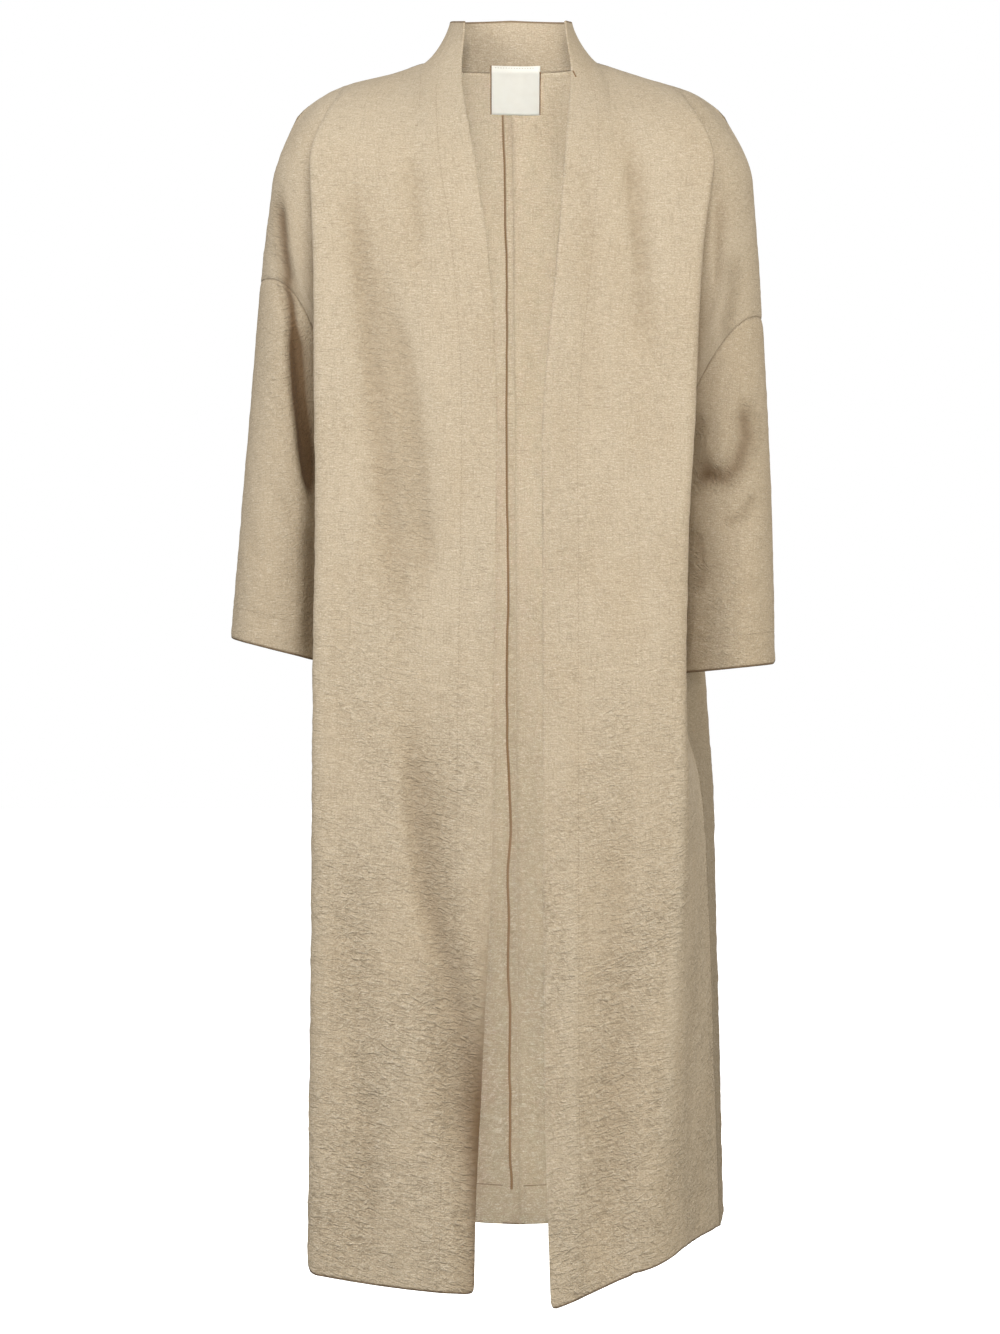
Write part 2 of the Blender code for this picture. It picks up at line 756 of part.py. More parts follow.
def back_stations():
    """Rows of the back from the neck to the hem, each as (patch, drop)."""
    rows = [(yoke_point, drop) for drop in shares(YOKE_ROWS)]
    rows += [(chest_point, drop) for drop in shares(CHEST_ROWS)[1:]]
    rows += [(skirt_point, drop) for drop in shares(SKIRT_ROWS)[1:]]
    return rows


def inside_back(side, patch, share, drop, depth):
    """Point inside the back, at a depth below its outer face."""
    near = share + PATCH_STEP if share < 0.5 else share - PATCH_STEP
    low = drop + PATCH_STEP if drop < 0.5 else drop - PATCH_STEP
    here = patch(side, share, drop, -1)
    along = (patch(side, near, drop, -1) - here) * math.copysign(1.0, near - share)
    down = (patch(side, share, low, -1) - here) * math.copysign(1.0, low - drop)
    normal = np.cross(along, down)
    normal = normal / np.linalg.norm(normal)
    outward = here - np.array((0.0, BODY_AXIS_Y, here[2]))
    return here - math.copysign(1.0, np.dot(normal, outward)) * normal * depth


def beside_centre(side, patch, drop, depth, widths):
    """Points inside the back at given widths from the centre-back line."""
    start = inside_back(side, patch, 0.0, drop, depth)
    end = inside_back(side, patch, 1.0 / BODY_COLUMNS, drop, depth)
    return [mix(start, end, width / np.linalg.norm(end - start)) for width in widths]


def solid_sheet(collection, name, rows, thickness, colour, roughness=LINEN_ROUGHNESS):
    """Closed sheet from a grid of points on its outer face, thickened by Solidify."""
    sheet = Sheet([(rows, False)])
    mesh = bpy.data.meshes.new(name)
    mesh.from_pydata([tuple(p) for p in sheet.points], [], sheet.faces)
    item = add_object(collection, name, mesh, colour, roughness)
    wall = item.modifiers.new("wall", "SOLIDIFY")
    wall.thickness = thickness
    wall.offset = 1.0
    return item


def add_seam_allowance(collection):
    """Centre-back seam allowance, pressed to the wearer's right inside the back."""
    depth = WALL + TRIM_GAP
    rows = []
    for patch, drop in back_stations():
        row = beside_centre("right", patch, drop, depth, (SEAM_GAP, ALLOWANCE_WIDTH))
        if row[0][2] < ALLOWANCE_TOP:
            rows.append(row)
    cut = (rows[-2][0][2] - ALLOWANCE_END) / (rows[-2][0][2] - rows[-1][0][2])
    rows[-1] = [mix(upper, lower, cut) for upper, lower in zip(rows[-2], rows[-1])]
    solid_sheet(collection, "seam_allowance_centre_back", on_side(rows[::-1], "right"),
                TRIM_WALL, LINEN_TRIM)


def add_hem_turnup(collection, side):
    """Turned-up hem inside the back, from the hem to its stitched upper edge."""
    first = SEAM_GAP + (ALLOWANCE_WIDTH if side == "right" else 0.0)
    columns = shares(BODY_COLUMNS)[1:-1] + [1.0 - SIDE_INSET]
    length = UNDERARM_CENTRE - hem_height(side, 0.0, -1)
    depth = WALL + TRIM_GAP
    rows = []
    for drop in (1.0 - HEM_DEPTH / length, 1.0):
        row = beside_centre(side, skirt_point, drop, depth, (first,))
        rows.append(row + [inside_back(side, skirt_point, share, drop, depth)
                           for share in columns])
    if side == "right":
        rows = rows[::-1]
    solid_sheet(collection, "hem_turnup_back_" + side, on_side(rows, side), TRIM_WALL,
                LINEN_TRIM)


def back_depth(out, height):
    """Depth of the back's outer face at a place just under the nape."""
    share = out / NECK_SIDE[0] / MM * COLLAR_SHARE * LABEL_SPREAD
    low, high = 0.0, 1.0
    for _ in range(DEPTH_HALVINGS):
        drop = (low + high) / 2
        if yoke_point("left", share, drop, -1)[2] > height:
            low = drop
        else:
            high = drop
    return yoke_point("left", share, low, -1)[1]


def add_label(collection):
    """Blank woven label inside the back neck, over the top of the seam allowance."""
    depth = WALL + TRIM_WALL + 2 * TRIM_GAP
    rows = []
    for height in shares(LABEL_ROWS, LABEL_TOP, LABEL_TOP - LABEL_HEIGHT):
        row = []
        for x in shares(LABEL_COLUMNS, -LABEL_RIGHT_OUT, LABEL_LEFT_OUT):
            y = back_depth(abs(x), min(height, LABEL_SEAM)) - depth * LABEL_SLANT
            row.append(np.array((x, y, height + LABEL_TILT * x)))
        rows.append(row)
    solid_sheet(collection, "neck_label", rows, LABEL_WALL, LABEL_CREAM, LABEL_ROUGHNESS)


def main():
    """Build the coat."""
    clear_scene()
    collection = bpy.data.collections.new("duster_coat")
    bpy.context.scene.collection.children.link(collection)
    add_cloth(collection)
    add_seam_allowance(collection)
    for side in SIDES:
        add_hem_turnup(collection, side)
    add_label(collection)


main()
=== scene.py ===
import math

import bmesh
import bpy
import numpy as np
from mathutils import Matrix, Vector, kdtree
from mathutils.bvhtree import BVHTree


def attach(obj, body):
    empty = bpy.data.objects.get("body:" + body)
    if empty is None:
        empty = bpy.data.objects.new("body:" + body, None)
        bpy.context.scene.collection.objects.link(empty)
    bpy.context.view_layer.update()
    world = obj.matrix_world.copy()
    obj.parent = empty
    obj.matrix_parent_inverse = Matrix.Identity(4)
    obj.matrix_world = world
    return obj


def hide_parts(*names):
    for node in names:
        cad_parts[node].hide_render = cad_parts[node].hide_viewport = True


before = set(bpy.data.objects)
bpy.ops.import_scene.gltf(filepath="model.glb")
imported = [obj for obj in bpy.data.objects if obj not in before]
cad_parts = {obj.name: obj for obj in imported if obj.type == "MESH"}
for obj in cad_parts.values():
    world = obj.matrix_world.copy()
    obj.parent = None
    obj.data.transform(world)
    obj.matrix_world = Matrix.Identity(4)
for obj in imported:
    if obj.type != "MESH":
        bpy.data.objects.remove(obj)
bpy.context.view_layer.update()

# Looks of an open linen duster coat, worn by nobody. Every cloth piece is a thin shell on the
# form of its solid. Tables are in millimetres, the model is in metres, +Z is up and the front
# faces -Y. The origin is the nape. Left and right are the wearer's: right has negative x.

MM = 0.001
SIDES = {"left": 1.0, "right": -1.0}

# Form of the coat, as its solids have it: horizontal sections of the body.
CHEST_HEIGHT = -120.0 * MM
SECTION_NAMES = ("height", "edge_out", "edge_y", "fold_out", "fold_y", "fold_round",
                 "side_in", "side_y", "blade_out", "blade_y")
SECTIONS = {
    "right": (
        (-120, 33.0, -168, 188.5, -156, 10, 0.0, -70, 186, 33),
        (-200, 21.7, -185, 184.5, -172, 11, 0.0, -70, 186, 38),
        (-330, 13.5, -198, 182.0, -186, 12, 0.0, -70, 184, 42),
        (-450, 14.0, -205, 180.0, -193, 13, 6.0, -70, 182, 42),
        (-580, 16.0, -210, 181.5, -197, 14, 4.0, -68, 182, 42),
        (-780, 19.4, -215, 182.0, -199, 16, -5.0, -60, 182, 45),
        (-980, 32.0, -219, 184.0, -200, 16, -9.0, -55, 184, 50),
        (-1145, 35.5, -224, 186.0, -203, 16, -12.0, -50, 187, 55),
    ),
    "left": (
        (-120, 48.3, -168, 190.0, -152, 10, 0.0, -75, 189, 33),
        (-200, 42.0, -185, 177.5, -170, 11, 0.0, -75, 189, 38),
        (-350, 28.4, -200, 169.0, -184, 12, 0.0, -75, 188, 42),
        (-450, 28.4, -205, 163.0, -191, 13, 7.5, -80, 190, 42),
        (-585, 28.5, -210, 159.5, -196, 15, 7.0, -80, 203, 40),
        (-680, 28.7, -212, 157.5, -197, 20, -20.0, -72, 205, 42),
        (-780, 28.9, -215, 154.5, -198, 26, -29.0, -64, 206, 44),
        (-980, 30.0, -219, 147.0, -199, 32, -37.0, -56, 209, 50),
        (-1150, 35.1, -226, 142.0, -202, 34, -43.0, -50, 212, 55),
    ),
}
BLADE_ROUND = 45.0 * MM
BACK_SHARE = 0.5
BACK_FLATNESS = 1.5
BLADE_SHARE = 0.8125
ROUND_LIMIT = 0.6
FACE_SHARE = 0.75
FOLD_SHARE = 0.875
FRONT_TUCK = 8.0 * MM
BACK_TUCK = 9.0 * MM
CREASE_POWER = 0.8
TUCK_FADE = 60.0 * MM
TUCK_END = -680.0 * MM
FRONT_FADE = (0.80, 0.16)
BACK_FADE = (0.82, 0.20)
CENTRE_FADE = 0.12

# Horizontal sections of the upper arm and sleeve.
ARM_NAMES = ("height", "out", "width", "depth", "centre_y")
ARMS = {
    "right": (
        (-120, 225.0, 90, 124, -68),
        (-200, 235.5, 87, 124, -70),
        (-330, 247.5, 82, 120, -70),
        (-450, 257.0, 88, 120, -72),
        (-574, 267.0, 94, 124, -72),
    ),
    "left": (
        (-120, 229.5, 92, 124, -68),
        (-200, 234.5, 86, 124, -72),
        (-350, 242.0, 84, 120, -75),
        (-450, 246.5, 87, 120, -78),
        (-584, 249.5, 91, 124, -80),
    ),
}
CREASE_ANGLES = {1: math.radians(100.0), -1: math.radians(112.0)}

# Heights that close each panel.
LIMIT_NAMES = ("armhole_top", "underarm", "cuff_out", "cuff_in")
UNDERARM_CENTRE = -340.0 * MM
LIMITS = {
    "right": (-215, -330, -551, -574),
    "left": (-250, -350, -575, -584),
}
ARMHOLE_BOW = {"right": 2.3, "left": 1.9}
FRONT_HEMS = {
    "right": ((0.0, -1141), (0.4, -1135.5), (0.8, -1126), (1.0, -1118)),
    "left": ((0.0, -1153), (0.22, -1146), (0.64, -1129), (0.75, -1124), (0.875, -1110),
             (1.0, -1112)),
}
BACK_HEMS = {
    "right": ((0.0, -1134), (0.1, -1132.5), (0.2, -1130), (1.0, -1118)),
    "left": ((0.0, -1134), (0.1, -1132.5), (0.2, -1130), (1.0, -1112)),
}
CENTRE_LINE = ((-1150, 9.0, 70), (-980, 8.0, 62), (-780, 6.9, 54), (-550, 5.5, 50),
               (-340, 4.3, 50), (-200, 3.5, 45), (-120, 3.0, 36), (0, 0.0, 0))

# Shoulder line, neck line and the directions in which the cloth leaves them.
SHOULDER_LINE = ((83, -4), (103, -11.5), (124, -18), (150, -25), (170, -32), (185, -40),
                 (197, -49), (203, -55.5))
SHOULDER_Y = (-62, -66)
SHOULDER_CREASE_OUT = 168
COLLAR_SHARE = 0.25
NECK_SIDE = (83, -62, -4)
NECK_NAMES = ("base", "base_bend", "top", "top_bend")
NECK = {
    "right": ((46.8, -115, -24.5), (76, -99, -15), (45.2, -95, 28.5), (54, -74, 33)),
    "left": ((55.8, -115, -27.0), (78, -99, -15), (50.6, -95, 28.5), (56, -74, 33)),
}
COLLAR_SIDE_TOP = (58.5, -50, 37.5)
BACK_NECK_BEND = (66, -3, -3)
COLLAR_BACK_TOP = (0, -4, 49)
COLLAR_BACK_BEND = (47, -6, 46.5)
FRONT_FALLS = ((-4, -42, -72), (18, -80, -40), (0, -125, -22), (30, 0, -55))
BACK_FALLS = ((0, 42, -118), (14, 62, -40), (0, 105, -24), (30, 0, -55))
FALL_FADE = 0.4
FALL_STEP = 0.02
COLLAR_EDGE_FALL = (2, -10, -52)
COLLAR_EDGE_FOOT = (-2.8, -29.4, -50.4)
COLLAR_SIDE_FALL = (9, -3, -40)
COLLAR_SIDE_FOOT = (32, -8, -22)
COLLAR_BACK_FALL = (0, 1, -50)
COLLAR_BACK_FOOT = (0, 6, -46)

# Long soft folds that the solids have too: a trough is positive.
FOLD_NAMES = ("top", "bottom", "top_out", "bottom_out", "bow", "half_width", "depth")
FOLD_FADE = 0.3
FOLDS = {
    "right": (
        (-70, -620, 152, 95, -4, 20, 6.0),
        (-560, -1110, 101, 40, -6, 24, 7.0),
        (-190, -560, 118, 72, -6, 15, 4.5),
        (-75, -250, 92, 83, 0, 12, 3.0),
        (-700, -1180, 150, 128, 4, 22, 3.5),
    ),
    "left": (
        (-60, -330, 108, 124, 0, 16, 5.0),
        (-90, -420, 62, 74, 4, 15, 3.0),
        (-620, -1190, 92, 84, 5, 24, 4.5),
        (-700, -1190, 54, 60, 0, 12, -2.0),
    ),
}
BACK_FOLDS = {
    "right": (
        (-180, -1190, 62, 70, 5, 24, 5.0),
        (-420, -1190, 122, 128, 0, 22, 5.0),
    ),
    "left": (
        (-200, -1190, 66, 80, -4, 26, 5.0),
        (-380, -1190, 132, 140, 0, 22, 5.0),
    ),
}

# Fineness of the cloth meshes: shares of a row, with the number of faces between them.
BODY_SHARES = ((0.0, COLLAR_SHARE, 18), (COLLAR_SHARE, FACE_SHARE, 32),
               (FACE_SHARE, FOLD_SHARE, 8), (FOLD_SHARE, 1.0, 30))
BACK_SHARES = ((0.0, COLLAR_SHARE, 18), (COLLAR_SHARE, BACK_SHARE, 20),
               (BACK_SHARE, BLADE_SHARE, 26), (BLADE_SHARE, 1.0, 30))
ARM_COLUMNS = 44
COLLAR_ROWS = 20
YOKE_ROWS = 36
CHEST_ROWS = 60
SKIRT_ROWS = 224
SLEEVE_ROWS = 88

CLOTH_WALL = 1.0 * MM
FACING_WALL = 1.7 * MM
FACING_WIDTH = 32.0 * MM
HEM_WIDTH = 39.0 * MM
CUFF_WIDTH = 30.0 * MM
EDGE_ROLL = 0.45 * MM
SEAM_DIP = 0.5 * MM
SEAM_REACH = 2.2 * MM
SEAM_CALM = 9.0 * MM
CORNER_ROUND = 7.0 * MM
HEM_ROUND = 7.0 * MM
CUFF_ROUND = 5.0 * MM
CORNER_REACH = 3.0
EDGE_REACH = 40.0 * MM
SEAM_FAR = 20.0 * MM
MERGE_GRID = 1.0e-5
MERGE_OFFSET = 1.234567e-6
PIECE_STEP = 0.37

# Relief of the cloth. A cell of noise has a width and height, and waves and ridges have a size
# as their third number, all in millimetres.
SEEDS = {"front_left": 11, "front_right": 23, "back_left": 37, "back_right": 41,
         "sleeve_left": 53, "sleeve_right": 67, "collar_back": 79}
DRIFT = (60, 90, 6)
SOFT_WAVES = (46, 210, 1.1)
COARSE_RIDGES = (26, 19, 0.55)
FINE_RIDGES = (14, 9.5, 0.42)
SMALL_PUCKERS = (8, 6.5, 0.20)
FACING_PUCKERS = (30, 11, 0.35)
HEM_PUCKERS = (9, 40, 0.5)
COARSE_LEAN = 0.35
COARSE_POWER = 2.0
FINE_LEAN = -0.3
FINE_POWER = 3.0
CRINKLE_ABOVE = 0.45
CRINKLE_GAIN = 0.75
CRINKLE_DROP = 0.75
COLLAR_CRINKLE = 0.5
CREASE_TAPER = 0.25
CREASE_END = 0.6
FACE_START = 0.3
FACE_FADE = 0.4
SLEEVE_TURN = 1.6
# Scale of the fold and crease depth that the linen reads for painted shade and painted highlight.
PAINTED_SHADING_SCALE = 100.0
LINE_DIP = 0.30 * MM
LINE_REACH = 2.2
FACING_REACH = 10
HEM_REACH = 9
NO_HEM = 10.0
SLEEVE_CREASES = 2.0
# How much darker sleeve creases are painted, as painted shade.
SLEEVE_SHADE = 2.2
ARM_START = 184.0 * MM
ARM_FADE = 8.0 * MM
EDGE_TURN = {"right": -10.0 * MM, "left": 1.2 * MM}
EDGE_TURN_WIDTH = 36.0 * MM
EDGE_TURN_TOP = 0.66
EDGE_TURN_FADE = 0.34
# Painted shade beside the right front's inward roll and painted highlight beside the left's outward
# roll, as a share of the roll.
EDGE_SHADE = 1.15

# Trims, stitches and label. Stitches have a pitch, a length and a radius in millimetres, and
# one stitch has rings at shares of its length, with shares of its radius.
NEAR_COLUMNS = 40
LOW_ROWS = 24
STITCH_SIZES = (3.2, 2.3, 0.28)
NECK_STITCH_SIZES = (2.6, 2.0, 0.3)
LABEL_STITCH_SIZES = (2.6, 1.7, 0.2)
STITCH_SHAPE = ((-0.5, 0.35), (-0.22, 1.0), (0.22, 1.0), (0.5, 0.35))
BACKWARDS = (0.0, 1.0, 0.0)
ALLOWANCE_END = -1100.0 * MM
ALLOWANCE_TOP = -8.0 * MM
# Section of the pressed seam allowance: distance from the seam, lower and upper face.
ALLOWANCE_SECTION = ((0.4, 0.25, 0.95), (2.0, 0.35, 1.35), (4.0, 0.45, 1.50), (6.0, 0.65, 1.75),
                     (7.4, 0.85, 1.95), (8.1, 1.10, 1.85))
ALLOWANCE_WIDTH = 8.0
ALLOWANCE_WAVES = ((46, 1, 1.1), (17, 1, 0.3))
# Overlocked edge: radius, growth lower down, ripple, its pitch, step and place, in millimetres.
CORD_RADIUS = 0.80
CORD_GROWTH = 0.45
CORD_RIPPLE = 0.20
CORD_PITCH = 2.4
CORD_STEP = 0.8
CORD_LIFT = 0.35
TURNUP_RISES = (0.0, 5, 11, 17, 23, 29, 34, 37, 38.6, 39.4)
TURNUP_WALL = 1.0 * MM
TURNUP_GAP = 0.15 * MM
TURNUP_PUCKER = 0.8 * MM
TURNUP_CELLS = ((8, 1), (21, 1))
PUCKER_RISE = 36.0 * MM
PUCKER_REACH = 9
TURNUP_FLAT = 1.02
TURNUP_LINE = 7
# Offset added to the distance from the turn-up's top edge for its painted edge shade.
TURNUP_SHADE_OFFSET = 0.7 * MM
LABEL_LEFT_OUT = 28.5 * MM
LABEL_RIGHT_OUT = 19.2 * MM
LABEL_TOP = 5.0 * MM
LABEL_HEIGHT = 45.0 * MM
LABEL_TILT = -0.02
LABEL_LIFT = 3.3
LABEL_HANG = 1.4
LABEL_WAVE = 0.5
LABEL_CURL = 0.8
LABEL_BULGE = 0.6 * MM
LABEL_WALL = 0.45
LABEL_THREAD = 0.62 * MM
LABEL_FACES = 24

# Colours, and the noises of the linen as (scale, detail, roughness, turn, distortion).
LINEN = (0.500, 0.412, 0.296, 1.0)
LINEN_DARK = (0.215, 0.160, 0.105, 1.0)
LINEN_GREY = (0.275, 0.217, 0.143, 1.0)
LINEN_LIGHT = (0.760, 0.680, 0.540, 1.0)
LINEN_WARM = (0.430, 0.330, 0.212, 1.0)
EDGE_BROWN = (0.175, 0.115, 0.062, 1.0)
# Dark brown painted into the deepest folds and creases as painted shade.
PAINTED_FOLD_SHADE = (0.135, 0.075, 0.032, 1.0)
LABEL_CREAM = (0.92, 0.915, 0.84, 1.0)
LABEL_SHADE = (0.84, 0.82, 0.73, 1.0)
THREAD_LINEN = (0.43, 0.345, 0.24, 1.0)
THREAD_BROWN = (0.255, 0.150, 0.075, 1.0)
LINEN_GRAINS = {
    "broad": ((22.0, 9.0, 1.0), 3.0, 0.55),
    "patches": ((17.0, 8.0, 1.0), 2.0, 0.5),
    "weft": ((110.0, 900.0, 1.0), 3.0, 0.6),
    "slub": ((75.0, 900.0, 1.0), 2.0, 0.5, 0.0, 0.4),
    "light": ((120.0, 1000.0, 1.0), 2.0, 0.5),
    "warp": ((760.0, 48.0, 1.0), 2.0, 0.6),
    "grain": ((620.0, 760.0, 1.0), 2.0, 0.6),
    "wavy": ((115.0, 290.0, 1.0), 2.0, 0.55, -0.25, 1.2),
    "pebbles": ((190.0, 420.0, 1.0), 2.0, 0.5, 0.8, 0.9),
}

# Camera, floor and soft fill. The lens and sensor are in millimetres, the places in metres.
CAMERA_PLACE = (-0.01045, -2.765, -0.5784)
LENS = 76.69
SENSOR = 36.0
FLOOR_REACH = 14.0
FLOOR_LEVEL = -1.42
FILL_BELOW = 0.20
FILL_ABOVE = 0.50
INSIDE_PIECES = ("cloth_back", "thread_end", "seam_allowance", "overlock", "hem_turnup",
                 "hem_stitches_left", "hem_stitches_right")
NECK_PIECES = ("cloth_collar", "label")

# Creases listed as (half width, height, points (x, z)): a trough is negative.
# The arm's creases go on above the armhole in the front.
CREASES = {
    "front_right": (
        (9, -1.6, ((-151, -96), (-137, -203), (-123, -315), (-112, -428), (-103, -513))),
        (7, 1.0, ((-139, -110), (-126, -215), (-112, -325), (-100, -430))),
        (10, -2.2, ((-98, -596), (-92, -633), (-86, -717), (-78, -785), (-55, -841),
                    (-45, -897), (-38, -971))),
        (8, 1.3, ((-112, -600), (-104, -700), (-96, -790), (-76, -850), (-64, -930))),
        (7, -1.6, ((-112, -231), (-90, -315), (-81, -400), (-73, -513))),
        (6, -1.2, ((-90, -107), (-86, -163), (-83, -208))),
        (6, -1.0, ((-38, -270), (-55, -310), (-61, -338))),
        (5, 0.9, ((-122, -372), (-116, -392), (-104, -405))),
        (5, -0.9, ((-119, -381), (-108, -400), (-97, -409))),
        (4, 0.7, ((-136, -372), (-128, -396), (-125, -428))),
        (9, -1.4, ((-122, -935), (-127, -1010), (-124, -1090))),
        (8, 1.0, ((-148, -820), (-152, -930), (-146, -1060))),
        (5, 0.8, ((-84, -700), (-70, -716), (-58, -722))),
        (5, -0.8, ((-80, -712), (-66, -727), (-54, -731))),
        (4, 0.7, ((-142, -742), (-128, -752), (-117, -748))),
    ),
    "front_left": (
        (7, -1.5, ((108, -96), (113, -158), (122, -236))),
        (6, 0.9, ((98, -100), (104, -170), (112, -250))),
        (6, -1.3, ((155, -90), (164, -146), (170, -169))),
        (6, -1.1, ((62, -85), (68, -146), (71, -210))),
        (8, -1.3, ((90, -394), (80, -456), (65, -518))),
        (7, 0.8, ((103, -400), (94, -460), (80, -530))),
        (7, 2.2, ((155, -540), (153, -690), (149, -802), (144, -886), (139, -987), (138, -1100))),
        (9, -1.2, ((130, -640), (126, -790), (117, -930), (108, -1090))),
        (7, 0.7, ((84, -700), (88, -840), (82, -980))),
        (5, -0.7, ((57, -560), (66, -575), (80, -578))),
        (5, 0.6, ((118, -352), (126, -372), (128, -392))),
    ),
    "back_left": (
        (9, -2.0, ((60, -120), (72, -230), (70, -340), (78, -470))),
        (8, 1.2, ((45, -150), (54, -260), (52, -380))),
        (7, -1.4, ((150, -170), (140, -240), (118, -300))),
        (6, 1.0, ((158, -205), (146, -268), (126, -322))),
        (9, -1.5, ((36, -560), (44, -700), (40, -860), (48, -1020))),
        (8, -1.2, ((100, -640), (106, -780), (98, -930), (104, -1060))),
        (6, -0.9, ((24, -420), (44, -436), (66, -432))),
        (5, 0.8, ((28, -410), (46, -426), (64, -421))),
        (7, 0.9, ((160, -420), (166, -560), (172, -720), (176, -900))),
    ),
    "back_right": (
        (9, -2.0, ((-66, -110), (-74, -220), (-80, -330), (-74, -450))),
        (8, 1.2, ((-50, -140), (-58, -250), (-62, -360))),
        (7, -1.4, ((-148, -180), (-136, -252), (-112, -306))),
        (6, 1.0, ((-156, -215), (-144, -282), (-122, -334))),
        (9, -1.5, ((-30, -600), (-38, -740), (-34, -900), (-42, -1060))),
        (8, -1.2, ((-96, -600), (-102, -760), (-94, -900), (-98, -1080))),
        (6, -0.9, ((-22, -452), (-46, -470), (-70, -462))),
        (5, 0.8, ((-26, -442), (-46, -459), (-66, -452))),
        (7, 0.9, ((-158, -440), (-164, -580), (-168, -740), (-172, -920))),
    ),
    "sleeve_front_right": (
        (8, -3.0, ((-218, -120), (-218, -150), (-213.5, -187), (-207, -230), (-202, -275))),
        (8, -4.2, ((-206, -230), (-201.5, -275), (-197, -322), (-191, -359), (-184, -412),
                   (-182, -450))),
        (16, -1.6, ((-194, -240), (-189, -300), (-184, -350), (-180, -420))),
        (7, -0.8, ((-226, -396), (-214, -424), (-197, -444))),
        (9, -2.2, ((-186, -420), (-184, -470), (-185, -530), (-188, -590))),
        (6, -0.6, ((-252, -440), (-240, -470), (-222, -486))),
        (5, -0.5, ((-246, -520), (-232, -536), (-214, -540))),
    ),
    "sleeve_front_left": (
        (13, -2.6, ((206, -318), (217, -338), (221, -364), (212, -390), (198, -403), (183, -398),
                    (176, -374))),
        (14, -1.8, ((172, -330), (170, -360), (172, -392), (168, -430))),
        (9, -1.4, ((232, -412), (214, -438), (190, -452))),
        (9, -1.6, ((168, -440), (174, -480), (170, -520))),
        (8, -0.8, ((236, -490), (220, -508), (196, -512))),
        (10, -1.3, ((196, -130), (190, -180), (184, -240))),
        (9, -1.2, ((212, -180), (206, -230), (196, -290))),
    ),
    "sleeve_back_right": (
        (7, -2.4, ((-180, -330), (-200, -350), (-228, -356), (-246, -344))),
        (6, 1.4, ((-184, -346), (-204, -368), (-232, -372))),
        (7, -2.2, ((-186, -392), (-206, -404), (-236, -398))),
        (6, 1.3, ((-188, -412), (-210, -424), (-240, -418))),
        (7, -1.6, ((-196, -446), (-216, -470), (-240, -482))),
        (7, -1.2, ((-206, -500), (-210, -540), (-208, -568))),
    ),
    "sleeve_back_left": (
        (7, -2.4, ((178, -340), (198, -362), (222, -366), (238, -352))),
        (6, 1.4, ((180, -360), (200, -380), (226, -384))),
        (7, -2.2, ((180, -402), (200, -416), (230, -408))),
        (6, 1.3, ((182, -422), (204, -436), (232, -430))),
        (7, -1.6, ((190, -456), (208, -482), (232, -494))),
        (7, -1.2, ((200, -510), (204, -550), (202, -576))),
    ),
}


def point(*sizes):
    """Sizes in millimetres as a point in metres."""
    return np.array(sizes, dtype=float) * MM


def stack(x, y, z):
    """Arrays of coordinates as an array of points."""
    return np.stack(np.broadcast_arrays(x, y, z), axis=-1).astype(float)


def pick(test, points, others):
    """Points where a test holds, and others elsewhere."""
    return np.where(test[..., None], points, others)


def mix(start, end, share):
    """Straight mix of two arrays of values."""
    return start * (1.0 - share) + end * share


def mix_points(start, end, share):
    """Straight mix of two points or arrays of points."""
    return mix(start, end, np.asarray(share, dtype=float)[..., None])


def ease(share):
    """Smooth step from 0 to 1."""
    share = np.clip(share, 0.0, 1.0)
    return share * share * (3.0 - 2.0 * share)


def length(vectors):
    """Lengths of an array of vectors."""
    return np.linalg.norm(vectors, axis=-1)


def unit(vectors):
    """Vectors of length one."""
    return vectors / np.maximum(length(vectors), 1.0e-12)[..., None]


def cubic(start, start_slope, end, end_slope, t):
    """Values between two ends that leave and arrive with given slopes."""
    return (start * (1 + 2 * t) * (1 - t) ** 2 + start_slope * t * (1 - t) ** 2
            + end * t * t * (3 - 2 * t) + end_slope * t * t * (t - 1))


def hermite(start, start_fall, end, end_fall, share):
    """Points of a curve that leaves and arrives along given directions."""
    return cubic(start, start_fall, end, end_fall, np.asarray(share, dtype=float)[..., None])


def bend(start, control, end, share):
    """Points of a curve that is drawn towards one control point."""
    return mix_points(mix_points(start, control, share), mix_points(control, end, share), share)


def curve_value(rows, place, column):
    """Smooth curve through one column of a table, at an array of places."""
    table = np.array(sorted(rows), dtype=float)
    places = table[:, 0]
    values = table[:, column]
    last = len(places) - 1
    low = np.maximum(np.arange(last + 1) - 1, 0)
    high = np.minimum(np.arange(last + 1) + 1, last)
    slopes = (values[high] - values[low]) / (places[high] - places[low])
    place = np.clip(place, places[0], places[-1])
    index = np.clip(np.searchsorted(places, place) - 1, 0, last - 1)
    span = places[index + 1] - places[index]
    return cubic(values[index], slopes[index] * span, values[index + 1],
                 slopes[index + 1] * span, (place - places[index]) / span)


def table_row(table, names, height):
    """All the named sizes of a table at an array of heights, in metres."""
    return {name: curve_value(table, height / MM, index) * MM
            for index, name in enumerate(names) if index}


def limit(side, name):
    """One closing height of a side, in metres."""
    return LIMITS[side][LIMIT_NAMES.index(name)] * MM


def neck_point(side, name):
    """One point of the neck table."""
    return point(*NECK[side][NECK_NAMES.index(name)])


def rounded_path(start, corner, end, radius, face_share, round_share, share):
    """Two straight legs with a rounded corner between them."""
    reach = np.minimum(radius, ROUND_LIMIT * length(end - corner))
    round_start = corner + unit(start - corner) * np.broadcast_to(radius, share.shape)[..., None]
    round_end = corner + unit(end - corner) * reach[..., None]
    face = mix_points(start, round_start, share / face_share)
    turn = bend(round_start, corner, round_end,
                (share - face_share) / (round_share - face_share))
    rest = mix_points(round_end, end, (share - round_share) / (1.0 - round_share))
    return pick(share <= face_share, face, pick(share <= round_share, turn, rest))


